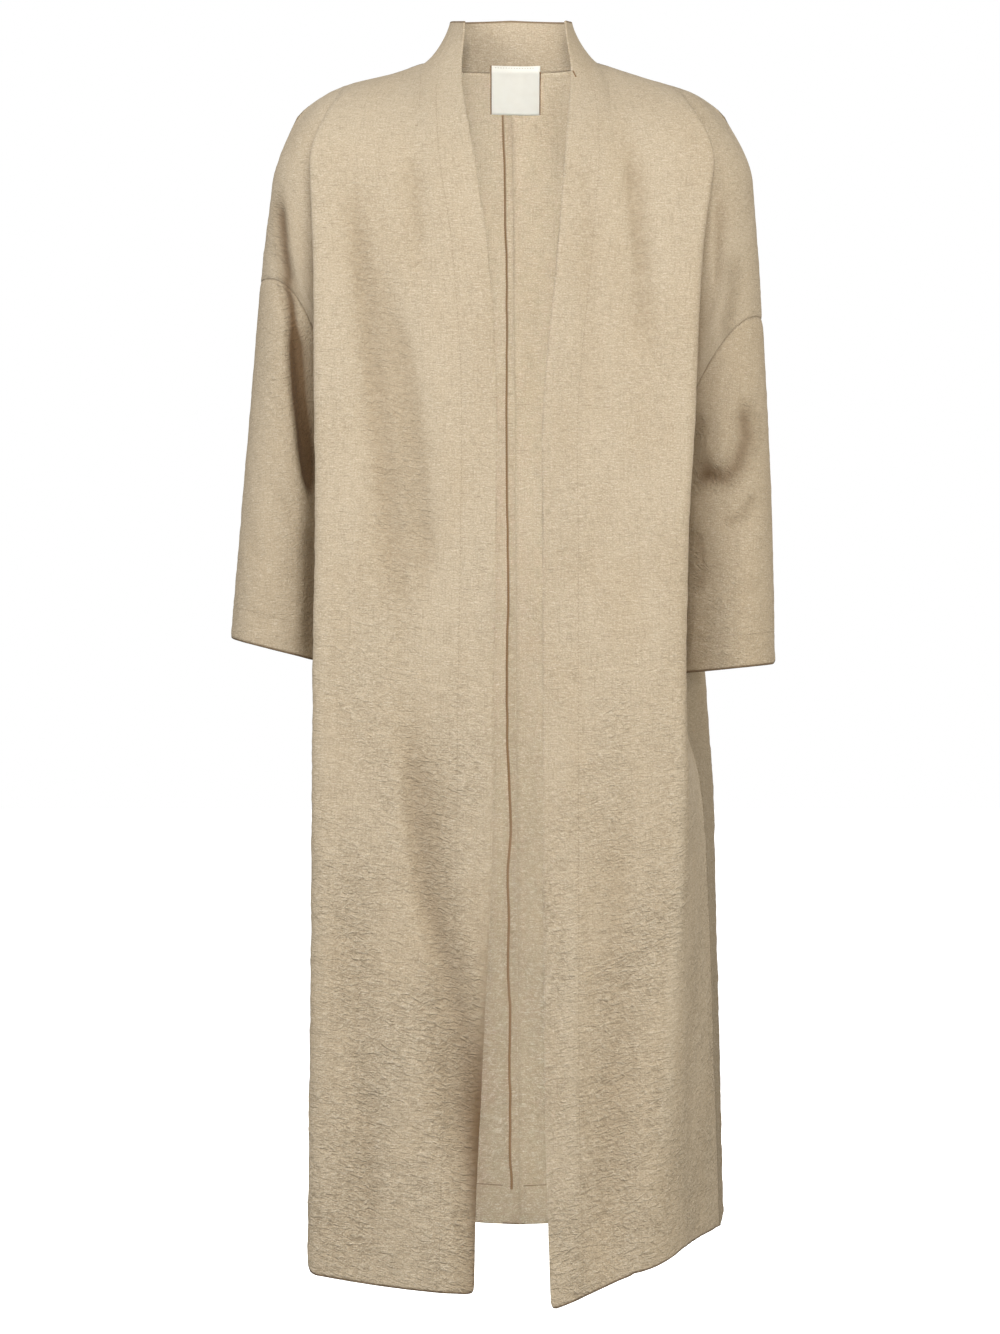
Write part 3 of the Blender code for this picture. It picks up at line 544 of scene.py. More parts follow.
def fold_shift(folds, out, height):
    """Depth that the long folds give."""
    shift = np.zeros(np.broadcast(out, height).shape)
    for row in folds:
        fold = dict(zip(FOLD_NAMES, (size * MM for size in row)))
        along = (height - fold["top"]) / (fold["bottom"] - fold["top"])
        middle = mix(fold["top_out"], fold["bottom_out"], along)
        middle = middle + fold["bow"] * 4.0 * along * (1.0 - along)
        reach = (out - middle) / fold["half_width"]
        fade = ease(along / FOLD_FADE) * ease((1.0 - along) / FOLD_FADE)
        shift += fold["depth"] * fade * np.exp(-reach * reach)
    return shift


def underarm_row(side, share):
    """Height of the underarm row: the same for both sides at the centre."""
    return mix(UNDERARM_CENTRE, limit(side, "underarm"), ease(share))


def arm_point(side, angle, height):
    """Points of the arm's section. Angle 0 is the outside, 90 degrees the front."""
    arm = table_row(ARMS[side], ARM_NAMES, height)
    out = arm["out"] - arm["width"] / 2 + arm["width"] / 2 * np.cos(angle)
    return stack(out, arm["centre_y"] - arm["depth"] / 2 * np.sin(angle), height)


def crease_angle(share, facing):
    """Angle at which the arm leaves the body, from the chest (0) to the underarm (1)."""
    rest = math.pi - CREASE_ANGLES[facing]
    return facing * (math.pi - rest * (1.0 - np.clip(share, 0.0, 1.0)) ** CREASE_POWER)


def side_point(side, height, facing):
    """End of the front or back section: the crease, or the side seam under the arm."""
    underarm = limit(side, "underarm")
    share = (height - CHEST_HEIGHT) / (underarm - CHEST_HEIGHT)
    crease = arm_point(side, crease_angle(share, facing), height)
    body = table_row(SECTIONS[side], SECTION_NAMES, height)
    start = arm_point(side, np.array(math.pi), np.array(underarm))
    return pick(height >= underarm, crease,
                stack(start[0] - body["side_in"], body["side_y"], height))


def arm_tuck(height, share, leg_share, depth):
    """Hollow that the hanging arm leaves in the coat's side, deepest in mid leg."""
    below = ease((height - TUCK_END) / TUCK_FADE)
    along = np.clip((share - leg_share) / (1.0 - leg_share), 0.0, 1.0)
    return depth * below * np.sin(math.pi * along)


def section_point(side, share, height, facing):
    """Points of the horizontal section, share 0 at the centre and 1 at the side."""
    share, height = np.broadcast_arrays(share, height)
    body = table_row(SECTIONS[side], SECTION_NAMES, height)
    end = side_point(side, height, facing)
    if facing > 0:
        start = stack(body["edge_out"], body["edge_y"], height)
        corner = stack(body["fold_out"], body["fold_y"], height)
        place = rounded_path(start, corner, end, body["fold_round"], FACE_SHARE, FOLD_SHARE,
                             share)
        place[..., 0] -= arm_tuck(height, share, FOLD_SHARE, FRONT_TUCK)
        folds = FOLDS[side]
        fade = ease((FRONT_FADE[0] - share) / FRONT_FADE[1])
    else:
        x, y = (curve_value(CENTRE_LINE, height / MM, column) * MM for column in (1, 2))
        start = stack(x * SIDES[side], y, height)
        corner = stack(body["blade_out"], body["blade_y"], height)
        path = (start, corner, end, BLADE_ROUND, BACK_SHARE, BLADE_SHARE)
        place = rounded_path(*path, share)
        rest = rounded_path(*path, np.full(share.shape, BACK_SHARE))
        near = mix(start[..., 1], rest[..., 1],
                   np.clip(share / BACK_SHARE, 0.0, 1.0) ** BACK_FLATNESS)
        place[..., 1] = np.where(share < BACK_SHARE, near, place[..., 1])
        place[..., 0] -= arm_tuck(height, share, BLADE_SHARE, BACK_TUCK)
        folds = BACK_FOLDS[side]
        fade = ease(share / CENTRE_FADE) * ease((BACK_FADE[0] - share) / BACK_FADE[1])
    place[..., 1] += facing * fade * fold_shift(folds, place[..., 0], height)
    return place


def shoulder_point(share):
    """Shoulder seam from the neck (0) through the crease (1) to the shoulder's end (2)."""
    first = SHOULDER_LINE[0][0]
    last = SHOULDER_LINE[-1][0]
    out = np.where(share <= 1.0, mix(first, SHOULDER_CREASE_OUT, share),
                   mix(SHOULDER_CREASE_OUT, last, share - 1.0))
    y = mix(SHOULDER_Y[0], SHOULDER_Y[1], (out - first) / (last - first))
    return stack(out, y, curve_value(SHOULDER_LINE, out, 1)) * MM


def top_point(side, share, facing):
    """Top row of a front or back: the neck line, then the shoulder seam."""
    if facing > 0:
        ends = neck_point(side, "base"), neck_point(side, "base_bend")
    else:
        ends = point(0, 0, 0), point(*BACK_NECK_BEND)
    neck = bend(*ends, point(*NECK_SIDE), share / COLLAR_SHARE)
    along = np.where(share <= 1.0, (share - COLLAR_SHARE) / (1.0 - COLLAR_SHARE), share)
    return pick(share < COLLAR_SHARE, neck, shoulder_point(along))


def top_fall(share, facing):
    """Direction in which the cloth leaves the neck line or shoulder seam."""
    falls = FRONT_FALLS if facing > 0 else BACK_FALLS
    edge, neck, shoulder, tip = (point(*fall) for fall in falls)
    at_neck = mix_points(edge, neck, ease(share / COLLAR_SHARE))
    at_shoulder = mix_points(neck, shoulder, ease((share - COLLAR_SHARE) / FALL_FADE))
    at_tip = mix_points(shoulder, tip, ease(share - 1.0))
    return pick(share <= COLLAR_SHARE, at_neck, pick(share <= 1.0, at_shoulder, at_tip))


def armhole_height(side, angle):
    """Height of the armhole seam around the arm."""
    share = ((1.0 - np.cos(angle)) / 2) ** ARMHOLE_BOW[side]
    return mix(limit(side, "armhole_top"), limit(side, "underarm"), share)


def cuff_height(side, angle):
    """Height of the cuff around the arm."""
    return mix(limit(side, "cuff_out"), limit(side, "cuff_in"), (1.0 - np.cos(angle)) / 2)


def hem_height(side, share, facing):
    """Height of the hem, share 0 at the front edge or centre back and 1 at the side seam."""
    hems = FRONT_HEMS if facing > 0 else BACK_HEMS
    return curve_value(hems[side], share, 1) * MM


def chest_point(side, share, drop, facing):
    """Columns at a drop (0 to 1) between the chest row and the underarm row or armhole."""
    share, drop = np.broadcast_arrays(share, drop)
    body = section_point(side, np.minimum(share, 1.0),
                         mix(CHEST_HEIGHT, underarm_row(side, share), drop), facing)
    around = 2.0 - share
    height = mix(CHEST_HEIGHT, armhole_height(side, math.pi * around), drop)
    return pick(share <= 1.0, body, arm_point(side, crease_angle(drop, facing) * around, height))


def yoke_point(side, share, drop, facing):
    """Columns between the shoulder line (0) and the chest row (1)."""
    share, drop = np.broadcast_arrays(share, drop)
    end = chest_point(side, share, np.zeros(share.shape), facing)
    end_fall = unit(chest_point(side, share, np.full(share.shape, FALL_STEP), facing) - end)
    start = top_point(side, share, facing)
    reach = length(end - start)[..., None]
    return hermite(start, top_fall(share, facing), end, end_fall * reach, drop)


def skirt_point(side, share, drop, facing):
    """Body columns between the underarm row (0) and the hem (1)."""
    height = mix(underarm_row(side, share), hem_height(side, share, facing), drop)
    return section_point(side, share, height, facing)


def sleeve_point(side, turn, drop):
    """Sleeve between the armhole seam (0) and the cuff (1). Turn runs from -1 to 1."""
    angle = math.pi * turn
    return arm_point(side, angle, mix(armhole_height(side, angle), cuff_height(side, angle), drop))


def collar_point(side, share, rise, facing):
    """Collar of a front or half the back, between the neck line (0) and its top edge (1)."""
    base = top_point(side, share * COLLAR_SHARE, facing)
    if facing > 0:
        ends = neck_point(side, "top"), neck_point(side, "top_bend")
        fall, foot = COLLAR_EDGE_FALL, COLLAR_EDGE_FOOT
    else:
        ends = point(*COLLAR_BACK_TOP), point(*COLLAR_BACK_BEND)
        fall, foot = COLLAR_BACK_FALL, COLLAR_BACK_FOOT
    top = bend(*ends, point(*COLLAR_SIDE_TOP), share)
    fall = mix_points(point(*fall), point(*COLLAR_SIDE_FALL), share)
    foot = mix_points(point(*foot), point(*COLLAR_SIDE_FOOT), share)
    return hermite(top, fall, base, foot, 1.0 - rise)


def shares(count, start=0.0, end=1.0):
    """Evenly spaced shares."""
    return np.array([start + (end - start) * index / count for index in range(count + 1)])


def spread(parts):
    """Shares of several stretches, joined."""
    rows = [shares(count, start, end)[:-1] for start, end, count in parts]
    return np.concatenate(rows + [[parts[-1][1]]])


def running_length(points, axis=0):
    """Length along the columns (0) or rows (1) of a grid, or along a line, from its start."""
    steps = length(np.diff(points, axis=axis))
    start = np.zeros_like(np.take(steps, [0], axis=axis))
    return np.concatenate([start, np.cumsum(steps, axis=axis)], axis=axis)


def climb(points):
    """Length up the columns of a grid, from its last row."""
    return running_length(points[::-1])[::-1]


def interpolate(places, arc, rows):
    """Rows of values at places on the scale of an arc."""
    return np.stack([np.interp(places, arc, column) for column in rows.T], axis=-1)


def grid_faces(numbers):
    """Faces between the rows and columns of a grid of vertex numbers."""
    corners = (numbers[:-1, :-1], numbers[1:, :-1], numbers[1:, 1:], numbers[:-1, 1:])
    return np.stack(corners, axis=-1).reshape(-1, 4)


class Cloth:
    """One cloth piece: grids of points that are joined where they meet."""

    def __init__(self, kind, side=None, facing=0):
        self.name = kind + "_" + (side or "back")
        self.side = side
        self.facing = facing
        self.lower = "skirt" if facing else "tube"
        self.sign = SIDES.get(side, 1.0)
        self.grids = {}
        self.raw = []
        self.flat = []
        self.quads = []
        self.count = 0

    def add(self, name, points, v, turned, sign=None, u=None):
        """Add a grid, mirrored to its side, with its flat coordinates."""
        u = running_length(points, 1) if u is None else u
        numbers = np.arange(u.size).reshape(u.shape) + self.count
        self.count += u.size
        mirror = np.array((self.sign if sign is None else sign, 1.0, 1.0))
        self.raw.append((points * mirror).reshape(-1, 3))
        self.flat.append(np.stack([u.ravel(), v.ravel()], axis=-1))
        faces = grid_faces(numbers)
        self.quads.append(faces[:, ::-1] if turned else faces)
        self.grids[name] = numbers

    def join(self):
        """Merge equal points."""
        raw = np.concatenate(self.raw)
        self.flat = np.concatenate(self.flat)
        self.raw_quads = np.concatenate(self.quads)
        self.keys, first, merged = np.unique(point_keys(raw), return_index=True,
                                             return_inverse=True)
        self.points = raw[first]
        self.flat_points = self.flat[first]
        self.faces = merged[self.raw_quads]
        self.grids = {name: merged[numbers] for name, numbers in self.grids.items()}
        return self

    def borders(self):
        """Directed edges that only one face uses."""
        starts = self.faces.ravel()
        ends = np.roll(self.faces, -1, axis=1).ravel()
        used = starts != ends
        starts, ends = starts[used], ends[used]
        size = len(self.points)
        open_edge = ~np.isin(starts * size + ends, ends * size + starts)
        return np.stack([starts[open_edge], ends[open_edge]], axis=-1)


def point_keys(points):
    """One whole number for each place, the same for points that meet."""
    cells = np.round((points + MERGE_OFFSET) / MERGE_GRID).astype(np.int64) + 2 ** 19
    return (cells[:, 0] * 2 ** 20 + cells[:, 1]) * 2 ** 20 + cells[:, 2]


def body_cloth(side, facing):
    """A front or back as one piece."""
    cloth = Cloth("front" if facing > 0 else "back", side, facing)
    body = spread(BODY_SHARES if facing > 0 else BACK_SHARES)
    columns = np.concatenate([body, shares(ARM_COLUMNS, 1.0, 2.0)[1:]])
    turned = facing * SIDES[side] < 0
    yoke = yoke_point(side, columns[None, :], shares(YOKE_ROWS)[:, None], facing)
    chest = chest_point(side, columns[None, :], shares(CHEST_ROWS)[:, None], facing)
    upper = np.concatenate([yoke, chest[1:]])
    u = running_length(upper, 1)
    v = upper[..., 2] - CHEST_HEIGHT
    v[:YOKE_ROWS + 1] = climb(upper[:YOKE_ROWS + 1])
    cloth.add("upper", upper, v, turned)
    skirt = skirt_point(side, body[None, :], shares(SKIRT_ROWS)[:, None], facing)
    cloth.add("skirt", skirt, skirt[..., 2] - CHEST_HEIGHT, turned)
    if facing > 0:
        neck = body[body <= COLLAR_SHARE] / COLLAR_SHARE
        rows = collar_point(side, neck[None, :], shares(COLLAR_ROWS, 1.0, 0.0)[:, None], 1)
        rise = climb(rows) + v[0, :len(neck)]
        cloth.add("collar", rows, rise, turned, u=np.broadcast_to(u[0, :len(neck)], rise.shape))
    return cloth.join()


def sleeve_cloth(side):
    """A sleeve as one tube."""
    cloth = Cloth("sleeve", side)
    turns = shares(ARM_COLUMNS * 2, -1.0, 1.0)
    points = sleeve_point(side, turns[None, :], shares(SLEEVE_ROWS)[:, None])
    cloth.add("tube", points, points[..., 2] - CHEST_HEIGHT, SIDES[side] > 0)
    return cloth.join()


def collar_cloth():
    """The back collar, both halves."""
    cloth = Cloth("collar")
    body = spread(BACK_SHARES)
    neck = body[body <= COLLAR_SHARE] / COLLAR_SHARE
    points = collar_point("left", neck[None, :], shares(COLLAR_ROWS, 1.0, 0.0)[:, None], -1)
    for side, sign in SIDES.items():
        cloth.add(side, points, climb(points), sign > 0, sign, running_length(points, 1) * sign)
    return cloth.join()


def shared_normals(cloths):
    """Unit normals at every vertex, the same for all pieces that meet there."""
    keys = np.concatenate([cloth.keys for cloth in cloths])
    unique, numbers = np.unique(keys, return_inverse=True)
    total = np.zeros((len(unique), 3))
    start = 0
    for cloth in cloths:
        cloth.own = numbers[start:start + len(cloth.keys)]
        start += len(cloth.keys)
        a, b, c, d = (cloth.points[cloth.faces[:, corner]] for corner in range(4))
        normals = unit(np.cross(c - a, d - b))
        for corner in range(4):
            np.add.at(total, cloth.own[cloth.faces[:, corner]], normals)
    total = unit(total)
    for cloth in cloths:
        cloth.normals = total[cloth.own]


def nearest_distance(points, targets):
    """Distance from each point to the nearest target, no more than the reach."""
    if not len(targets):
        return np.full(len(points), EDGE_REACH)
    tree = kdtree.KDTree(len(targets))
    for index, target in enumerate(targets):
        tree.insert(target, index)
    tree.balance()
    return np.array([min(tree.find(place)[2], EDGE_REACH) for place in points])


def measure_edges(cloths):
    """Distances to the nearest seam, free edge, and free edge that isn't the front opening."""
    for cloth in cloths:
        others = np.concatenate([other.keys for other in cloths if other is not cloth])
        edges = cloth.borders()
        cloth.edges = edges
        seam = np.isin(cloth.keys[edges], others).all(axis=1)
        opening = np.zeros(len(edges), dtype=bool)
        if cloth.facing > 0:
            opening = (cloth.flat_points[edges, 0] < MM).all(axis=1)
        for name, chosen in (("seam", edges[seam]), ("free", edges[~seam]),
                             ("outline", edges[~seam & ~opening])):
            ends = cloth.points[chosen]
            targets = np.concatenate([ends[:, 0], ends.mean(axis=1)]) if len(chosen) else []
            setattr(cloth, name, nearest_distance(cloth.points, targets))


def smooth_noise(u, v, cell, seed):
    """Seeded smooth noise from -1 to 1, with cells of a width and height in millimetres."""
    values = np.random.default_rng(seed).uniform(-1.0, 1.0, (256, 256))
    x = u / (cell[0] * MM)
    y = v / (cell[1] * MM)
    column = np.floor(x).astype(int)
    row = np.floor(y).astype(int)
    across = ease(x - column)

    def level(below):
        line = (row + below) % 256
        return mix(values[column % 256, line], values[(column + 1) % 256, line], across)

    return mix(level(0), level(1), ease(y - row))


def waves(u, v, cell, seed):
    """Smooth noise in metres. The cell's third size is the height in millimetres."""
    return smooth_noise(u, v, cell, seed) * cell[2] * MM


def ridges(u, v, cell, seed, power):
    """Thin uneven ridges in metres."""
    return (1.0 - np.abs(smooth_noise(u, v, cell, seed))) ** power * cell[2] * MM


def bell(distance, width):
    """1 at no distance, fading over a width in millimetres."""
    return np.exp(-(distance / (width * MM)) ** 2)


def crease_relief(name, x, z):
    """Height of the creases of one table at places seen from the front."""
    relief = np.zeros(x.shape)
    for half_width, height, path in CREASES[name]:
        path = np.array(path, dtype=float) * MM
        steps = length(np.diff(path, axis=0))
        near = np.full(x.shape, np.inf)
        along = np.zeros(x.shape)
        start = 0.0
        for a, b, step in zip(path, path[1:], steps):
            direction = (b - a) / step
            part = (x - a[0]) * direction[0] + (z - a[1]) * direction[1]
            clipped = np.clip(part, 0.0, step)
            gap = np.hypot(x - a[0] - direction[0] * clipped, z - a[1] - direction[1] * clipped)
            closer = gap < near
            near = np.where(closer, gap, near)
            along = np.where(closer, start + clipped, along)
            start += step
        share = along / steps.sum()
        taper = ease(share / CREASE_TAPER) * ease((1.0 - share) / CREASE_TAPER)
        wide = half_width * MM * (CREASE_END + (1.0 - CREASE_END) * taper)
        relief += height * MM * taper * np.exp(-(near / wide) ** 2)
    return relief


def crinkle(u, v, seed):
    """Washed crinkle: soft waves, uneven ridges and small puckers, stronger further down."""
    drift = waves(u, v, DRIFT, seed + 1)
    soft = waves(u, v, SOFT_WAVES, seed + 2)
    coarse = ridges(u + COARSE_LEAN * v + drift, v, COARSE_RIDGES, seed + 3, COARSE_POWER)
    fine = ridges(u + FINE_LEAN * v, v + drift, FINE_RIDGES, seed + 4, FINE_POWER)
    small = waves(u + drift, v, SMALL_PUCKERS, seed + 5)
    strength = CRINKLE_ABOVE + CRINKLE_GAIN * ease(-v / CRINKLE_DROP)
    return soft + strength * (coarse + fine + small)


def add_relief(cloth):
    """Move the points of a piece out and in by its creases, calm beside the seams, and keep its
    fold, crease and rolled-edge depth for painted shade and painted highlight.
    """
    x, _, z = cloth.points.T
    u, v = cloth.flat_points.T
    washed = crinkle(u, v, SEEDS[cloth.name])
    creased = np.zeros(x.shape)
    hollow = creased
    if cloth.facing:
        flat = ease((np.abs(cloth.normals[:, 1]) - FACE_START) / FACE_FADE)
        creased = flat * crease_relief(cloth.name, x, z)
        folds = (FOLDS if cloth.facing > 0 else BACK_FOLDS)[cloth.side]
        hollow = flat * fold_shift(folds, x * cloth.sign, z) - creased
        if cloth.facing > 0:
            arm = ease((np.abs(x) - ARM_START) / ARM_FADE)
            deep = arm * SLEEVE_CREASES * crease_relief("sleeve_" + cloth.name, x, z)
            creased += deep
            hollow -= SLEEVE_SHADE * deep
    elif cloth.side:
        for part, way in (("sleeve_front_", -1.0), ("sleeve_back_", 1.0)):
            seen = ease(cloth.normals[:, 1] * way * SLEEVE_TURN)
            creased += seen * crease_relief(part + cloth.side, x, z)
        creased *= SLEEVE_CREASES
        hollow = -SLEEVE_SHADE * creased
    else:
        washed *= COLLAR_CRINKLE
    turned = turned_edge(cloth, x, z)
    cloth.hollow = hollow - EDGE_SHADE * turned
    relief = washed + creased + turned
    relief += stitched_relief(cloth, u, v)
    dip = SEAM_DIP * (1.0 - ease(cloth.seam / SEAM_REACH))
    relief = relief * ease(cloth.seam / SEAM_CALM) - dip
    cloth.outer = cloth.points + cloth.normals * relief[:, None]
    cloth.inner = cloth.outer - cloth.normals * wall_depth(cloth)[:, None]


def turned_edge(cloth, x, z):
    """The right front's lower edge rolls inwards, the left front's a little outwards."""
    if cloth.facing <= 0:
        return np.zeros(x.shape)
    edge = curve_value(SECTIONS[cloth.side], z / MM, 1) * MM
    near = 1.0 - np.clip((x * cloth.sign - edge) / EDGE_TURN_WIDTH, 0.0, 1.0)
    return near ** 2 * ease((-z - EDGE_TURN_TOP) / EDGE_TURN_FADE) * EDGE_TURN[cloth.side]


def stitched_relief(cloth, u, v):
    """Shallow dip and puckers along the stitched hem, cuff and facing lines."""
    relief = np.zeros(u.shape)
    seed = SEEDS[cloth.name]
    if cloth.facing > 0:
        relief -= LINE_DIP * bell(u - FACING_WIDTH, LINE_REACH)
        relief += waves(u, v, FACING_PUCKERS, seed + 6) * bell(u - FACING_WIDTH, FACING_REACH)
    if cloth.side:
        above = cloth.hem_rise - (HEM_WIDTH if cloth.facing else CUFF_WIDTH)
        relief += waves(u, v, HEM_PUCKERS, seed + 7) * bell(above, HEM_REACH)
        relief -= LINE_DIP * bell(above, LINE_REACH)
    return relief


def measure_hems(cloth):
    """Height of each vertex above the hem or cuff below it."""
    cloth.hem_rise = np.full(len(cloth.points), NO_HEM)
    if cloth.side:
        numbers = cloth.grids[cloth.lower]
        heights = cloth.points[numbers][..., 2]
        cloth.hem_rise[numbers] = heights - heights[-1]


def round_corner(cloth):
    """Round the corner between a front's edge and its hem."""
    numbers = cloth.grids["skirt"]
    place = cloth.points[numbers]
    across = running_length(place, 1)
    rise = climb(place)
    near = (across < CORNER_ROUND) & (rise < CORNER_ROUND)
    a = (CORNER_ROUND - across) / CORNER_ROUND
    b = (CORNER_ROUND - rise) / CORNER_ROUND
    scale = np.maximum(a, b) / np.maximum(np.hypot(a, b), 1.0e-9)
    shift_x = np.where(near, a * (1.0 - scale) * CORNER_ROUND, 0.0) * cloth.sign
    shift_z = np.where(near, b * (1.0 - scale) * CORNER_ROUND, 0.0)
    cloth.points[numbers] = place + stack(shift_x, 0.0, shift_z)


def round_outline(cloth, radius):
    """Round the outer lower corner that a piece has when it is seen from the front."""
    numbers = cloth.grids[cloth.lower]
    place = cloth.points[numbers]
    out = place[..., 0] * cloth.sign
    inwards = np.clip(radius - (out[-1].max() - out), 0.0, radius)
    lift = radius - np.sqrt(radius ** 2 - inwards ** 2)
    fade = np.clip(1.0 - cloth.hem_rise[numbers] / (CORNER_REACH * radius), 0.0, 1.0)
    place[..., 2] += lift * fade
    cloth.points[numbers] = place


def wall_depth(cloth):
    """Thickness of a piece: more where a facing, hem or cuff is turned in."""
    double = cloth.hem_rise < (HEM_WIDTH if cloth.facing else CUFF_WIDTH)
    if cloth.facing > 0:
        double |= cloth.flat_points[:, 0] < FACING_WIDTH
    return np.where(double, FACING_WALL, CLOTH_WALL)


def add_item(name, data):
    """Object in the scene with its data."""
    item = bpy.data.objects.new(name, data)
    bpy.context.scene.collection.objects.link(item)
    return item


def mesh_object(name, places, faces):
    """Smooth mesh object."""
    mesh = bpy.data.meshes.new(name)
    mesh.from_pydata(np.asarray(places).tolist(), [], faces)
    mesh.shade_smooth()
    return add_item(name, mesh)


def corner_vertices(mesh):
    """Number of the vertex at each corner of each face."""
    own = np.empty(len(mesh.loops), dtype=np.int32)
    mesh.loops.foreach_get("vertex_index", own)
    return own


def write_layers(mesh, **layers):
    """Write what the materials read, as two values for each corner of each face."""
    for name, values in layers.items():
        layer = mesh.uv_layers.new(name=name)
        layer.data.foreach_set("uv", values.astype(np.float32).ravel())


def shell_object(cloth):
    """Closed shell of a piece, with rolled free edges."""
    outer = cloth.outer
    inner = cloth.inner
    size = len(outer)
    starts, ends = cloth.edges.T
    along = np.zeros_like(outer)
    np.add.at(along, starts, outer[ends] - outer[starts])
    np.add.at(along, ends, outer[ends] - outer[starts])
    rims = np.unique(cloth.edges)
    rim_of = np.full(size, -1)
    rim_of[rims] = np.arange(len(rims)) + 2 * size
    outward = unit(np.cross(along, cloth.normals))[rims]
    roll = np.where(cloth.free[rims] < MM, EDGE_ROLL, 0.0)[:, None]
    rim = (outer[rims] + inner[rims]) / 2 + outward * roll
    faces = [tuple(dict.fromkeys(face)) for face in cloth.faces.tolist()]
    back = [tuple(v + size for v in reversed(face)) for face in faces]
    upper = np.stack([ends, starts, rim_of[starts], rim_of[ends]], axis=-1)
    lower = np.stack([rim_of[ends], rim_of[starts], starts + size, ends + size], axis=-1)
    item = mesh_object("cloth_" + cloth.name, np.concatenate([outer, inner, rim]),
                       faces + back + upper.tolist() + lower.tolist())
    own = np.concatenate([np.arange(size), np.arange(size), rims])[corner_vertices(item.data)]
    # Layers for the materials: flat coordinates, fold and crease depth for painted shading, and
    # distances to the free edges for a painted dark rim and to the seams.
    write_layers(item.data, flat=flat_corners(cloth, own),
                 hollow=np.outer(cloth.hollow[own] * PAINTED_SHADING_SCALE, (1.0, 0.0)),
                 wear=np.stack([cloth.outline[own], cloth.seam[own]], axis=-1))
    return item


def flat_corners(cloth, own):
    """Flat coordinates at each corner, from the grid that the face belongs to."""
    flat = cloth.flat_points[own]
    rows = []
    for face, raw in zip(cloth.faces.tolist(), cloth.raw_quads.tolist()):
        source = dict(zip(face, raw))
        rows.append([source[v] for v in dict.fromkeys(face)])
    front = np.array([v for row in rows for v in row])
    behind = np.array([v for row in rows for v in reversed(row)])
    flat[:len(front)] = cloth.flat[front]
    flat[len(front):2 * len(front)] = cloth.flat[behind]
    flat[:, 0] += SEEDS[cloth.name] * PIECE_STEP
    return flat


class Nodes:
    """Short calls for the nodes of one material."""

    def __init__(self, tree):
        self.tree = tree

    def make(self, kind, inputs=None, **values):
        """New node with its properties set, and its inputs set or linked."""
        node = self.tree.nodes.new(kind)
        for name, value in values.items():
            setattr(node, name, value)
        for name, value in (inputs or {}).items():
            self.give(node.inputs[name], value)
        return node

    def give(self, socket, value):
        """Set a socket to a constant, or link it to another socket."""
        if isinstance(value, bpy.types.NodeSocket):
            self.tree.links.new(value, socket)
        else:
            socket.default_value = value

    def math(self, operation, first, second):
        """Math node on numbers or sockets."""
        inputs = {0: first, 1: second}
        return self.make("ShaderNodeMath", inputs, operation=operation).outputs[0]

    def stretch(self, vector, scale=(1.0, 1.0, 1.0), turn=0.0):
        """Scaled and turned coordinates."""
        inputs = {"Vector": vector, "Scale": scale, "Rotation": (0.0, 0.0, turn)}
        return self.make("ShaderNodeMapping", inputs).outputs["Vector"]

    def noise(self, vector, scale, detail=2.0, roughness=0.5, turn=0.0, distortion=0.0):
        """Noise value on turned and then stretched coordinates."""
        if turn:
            vector = self.stretch(vector, turn=turn)
        inputs = {"Vector": self.stretch(vector, scale), "Scale": 1.0, "Detail": detail,
                  "Roughness": roughness, "Distortion": distortion}
        return self.make("ShaderNodeTexNoise", inputs).outputs["Fac"]

    def ramp(self, value, low, high, start=0.0, end=1.0):
        """Value moved from one range to another, held at both ends."""
        inputs = {"Value": value, "From Min": low, "From Max": high, "To Min": start, "To Max": end}
        node = self.make("ShaderNodeMapRange", inputs, interpolation_type="SMOOTHSTEP")
        return node.outputs["Result"]

    def tint(self, factor, colour, other):
        """Colour mixed with another by a factor."""
        return self.make("ShaderNodeMix", {0: factor, 6: colour, 7: other},
                         data_type="RGBA").outputs[2]

    def bump(self, height, strength):
        """Normal that a height in metres gives."""
        inputs = {"Distance": 1.0, "Strength": strength, "Height": height}
        return self.make("ShaderNodeBump", inputs).outputs["Normal"]

    def parts(self, vector):
        """Components X, Y and Z of a vector."""
        return self.make("ShaderNodeSeparateXYZ", {0: vector}).outputs

    def coordinates(self, layer):
        """Flat coordinates of one layer."""
        return self.make("ShaderNodeUVMap", uv_map=layer).outputs["UV"]


def new_material(name, **constants):
    """Material with a Principled shader. Names of constants have underscores for spaces."""
    material = bpy.data.materials.new(name)
    material.use_nodes = True
    shader = material.node_tree.nodes["Principled BSDF"]
    for constant, value in constants.items():
        shader.inputs[constant.replace("_", " ")].default_value = value
    return material, Nodes(material.node_tree), shader.inputs


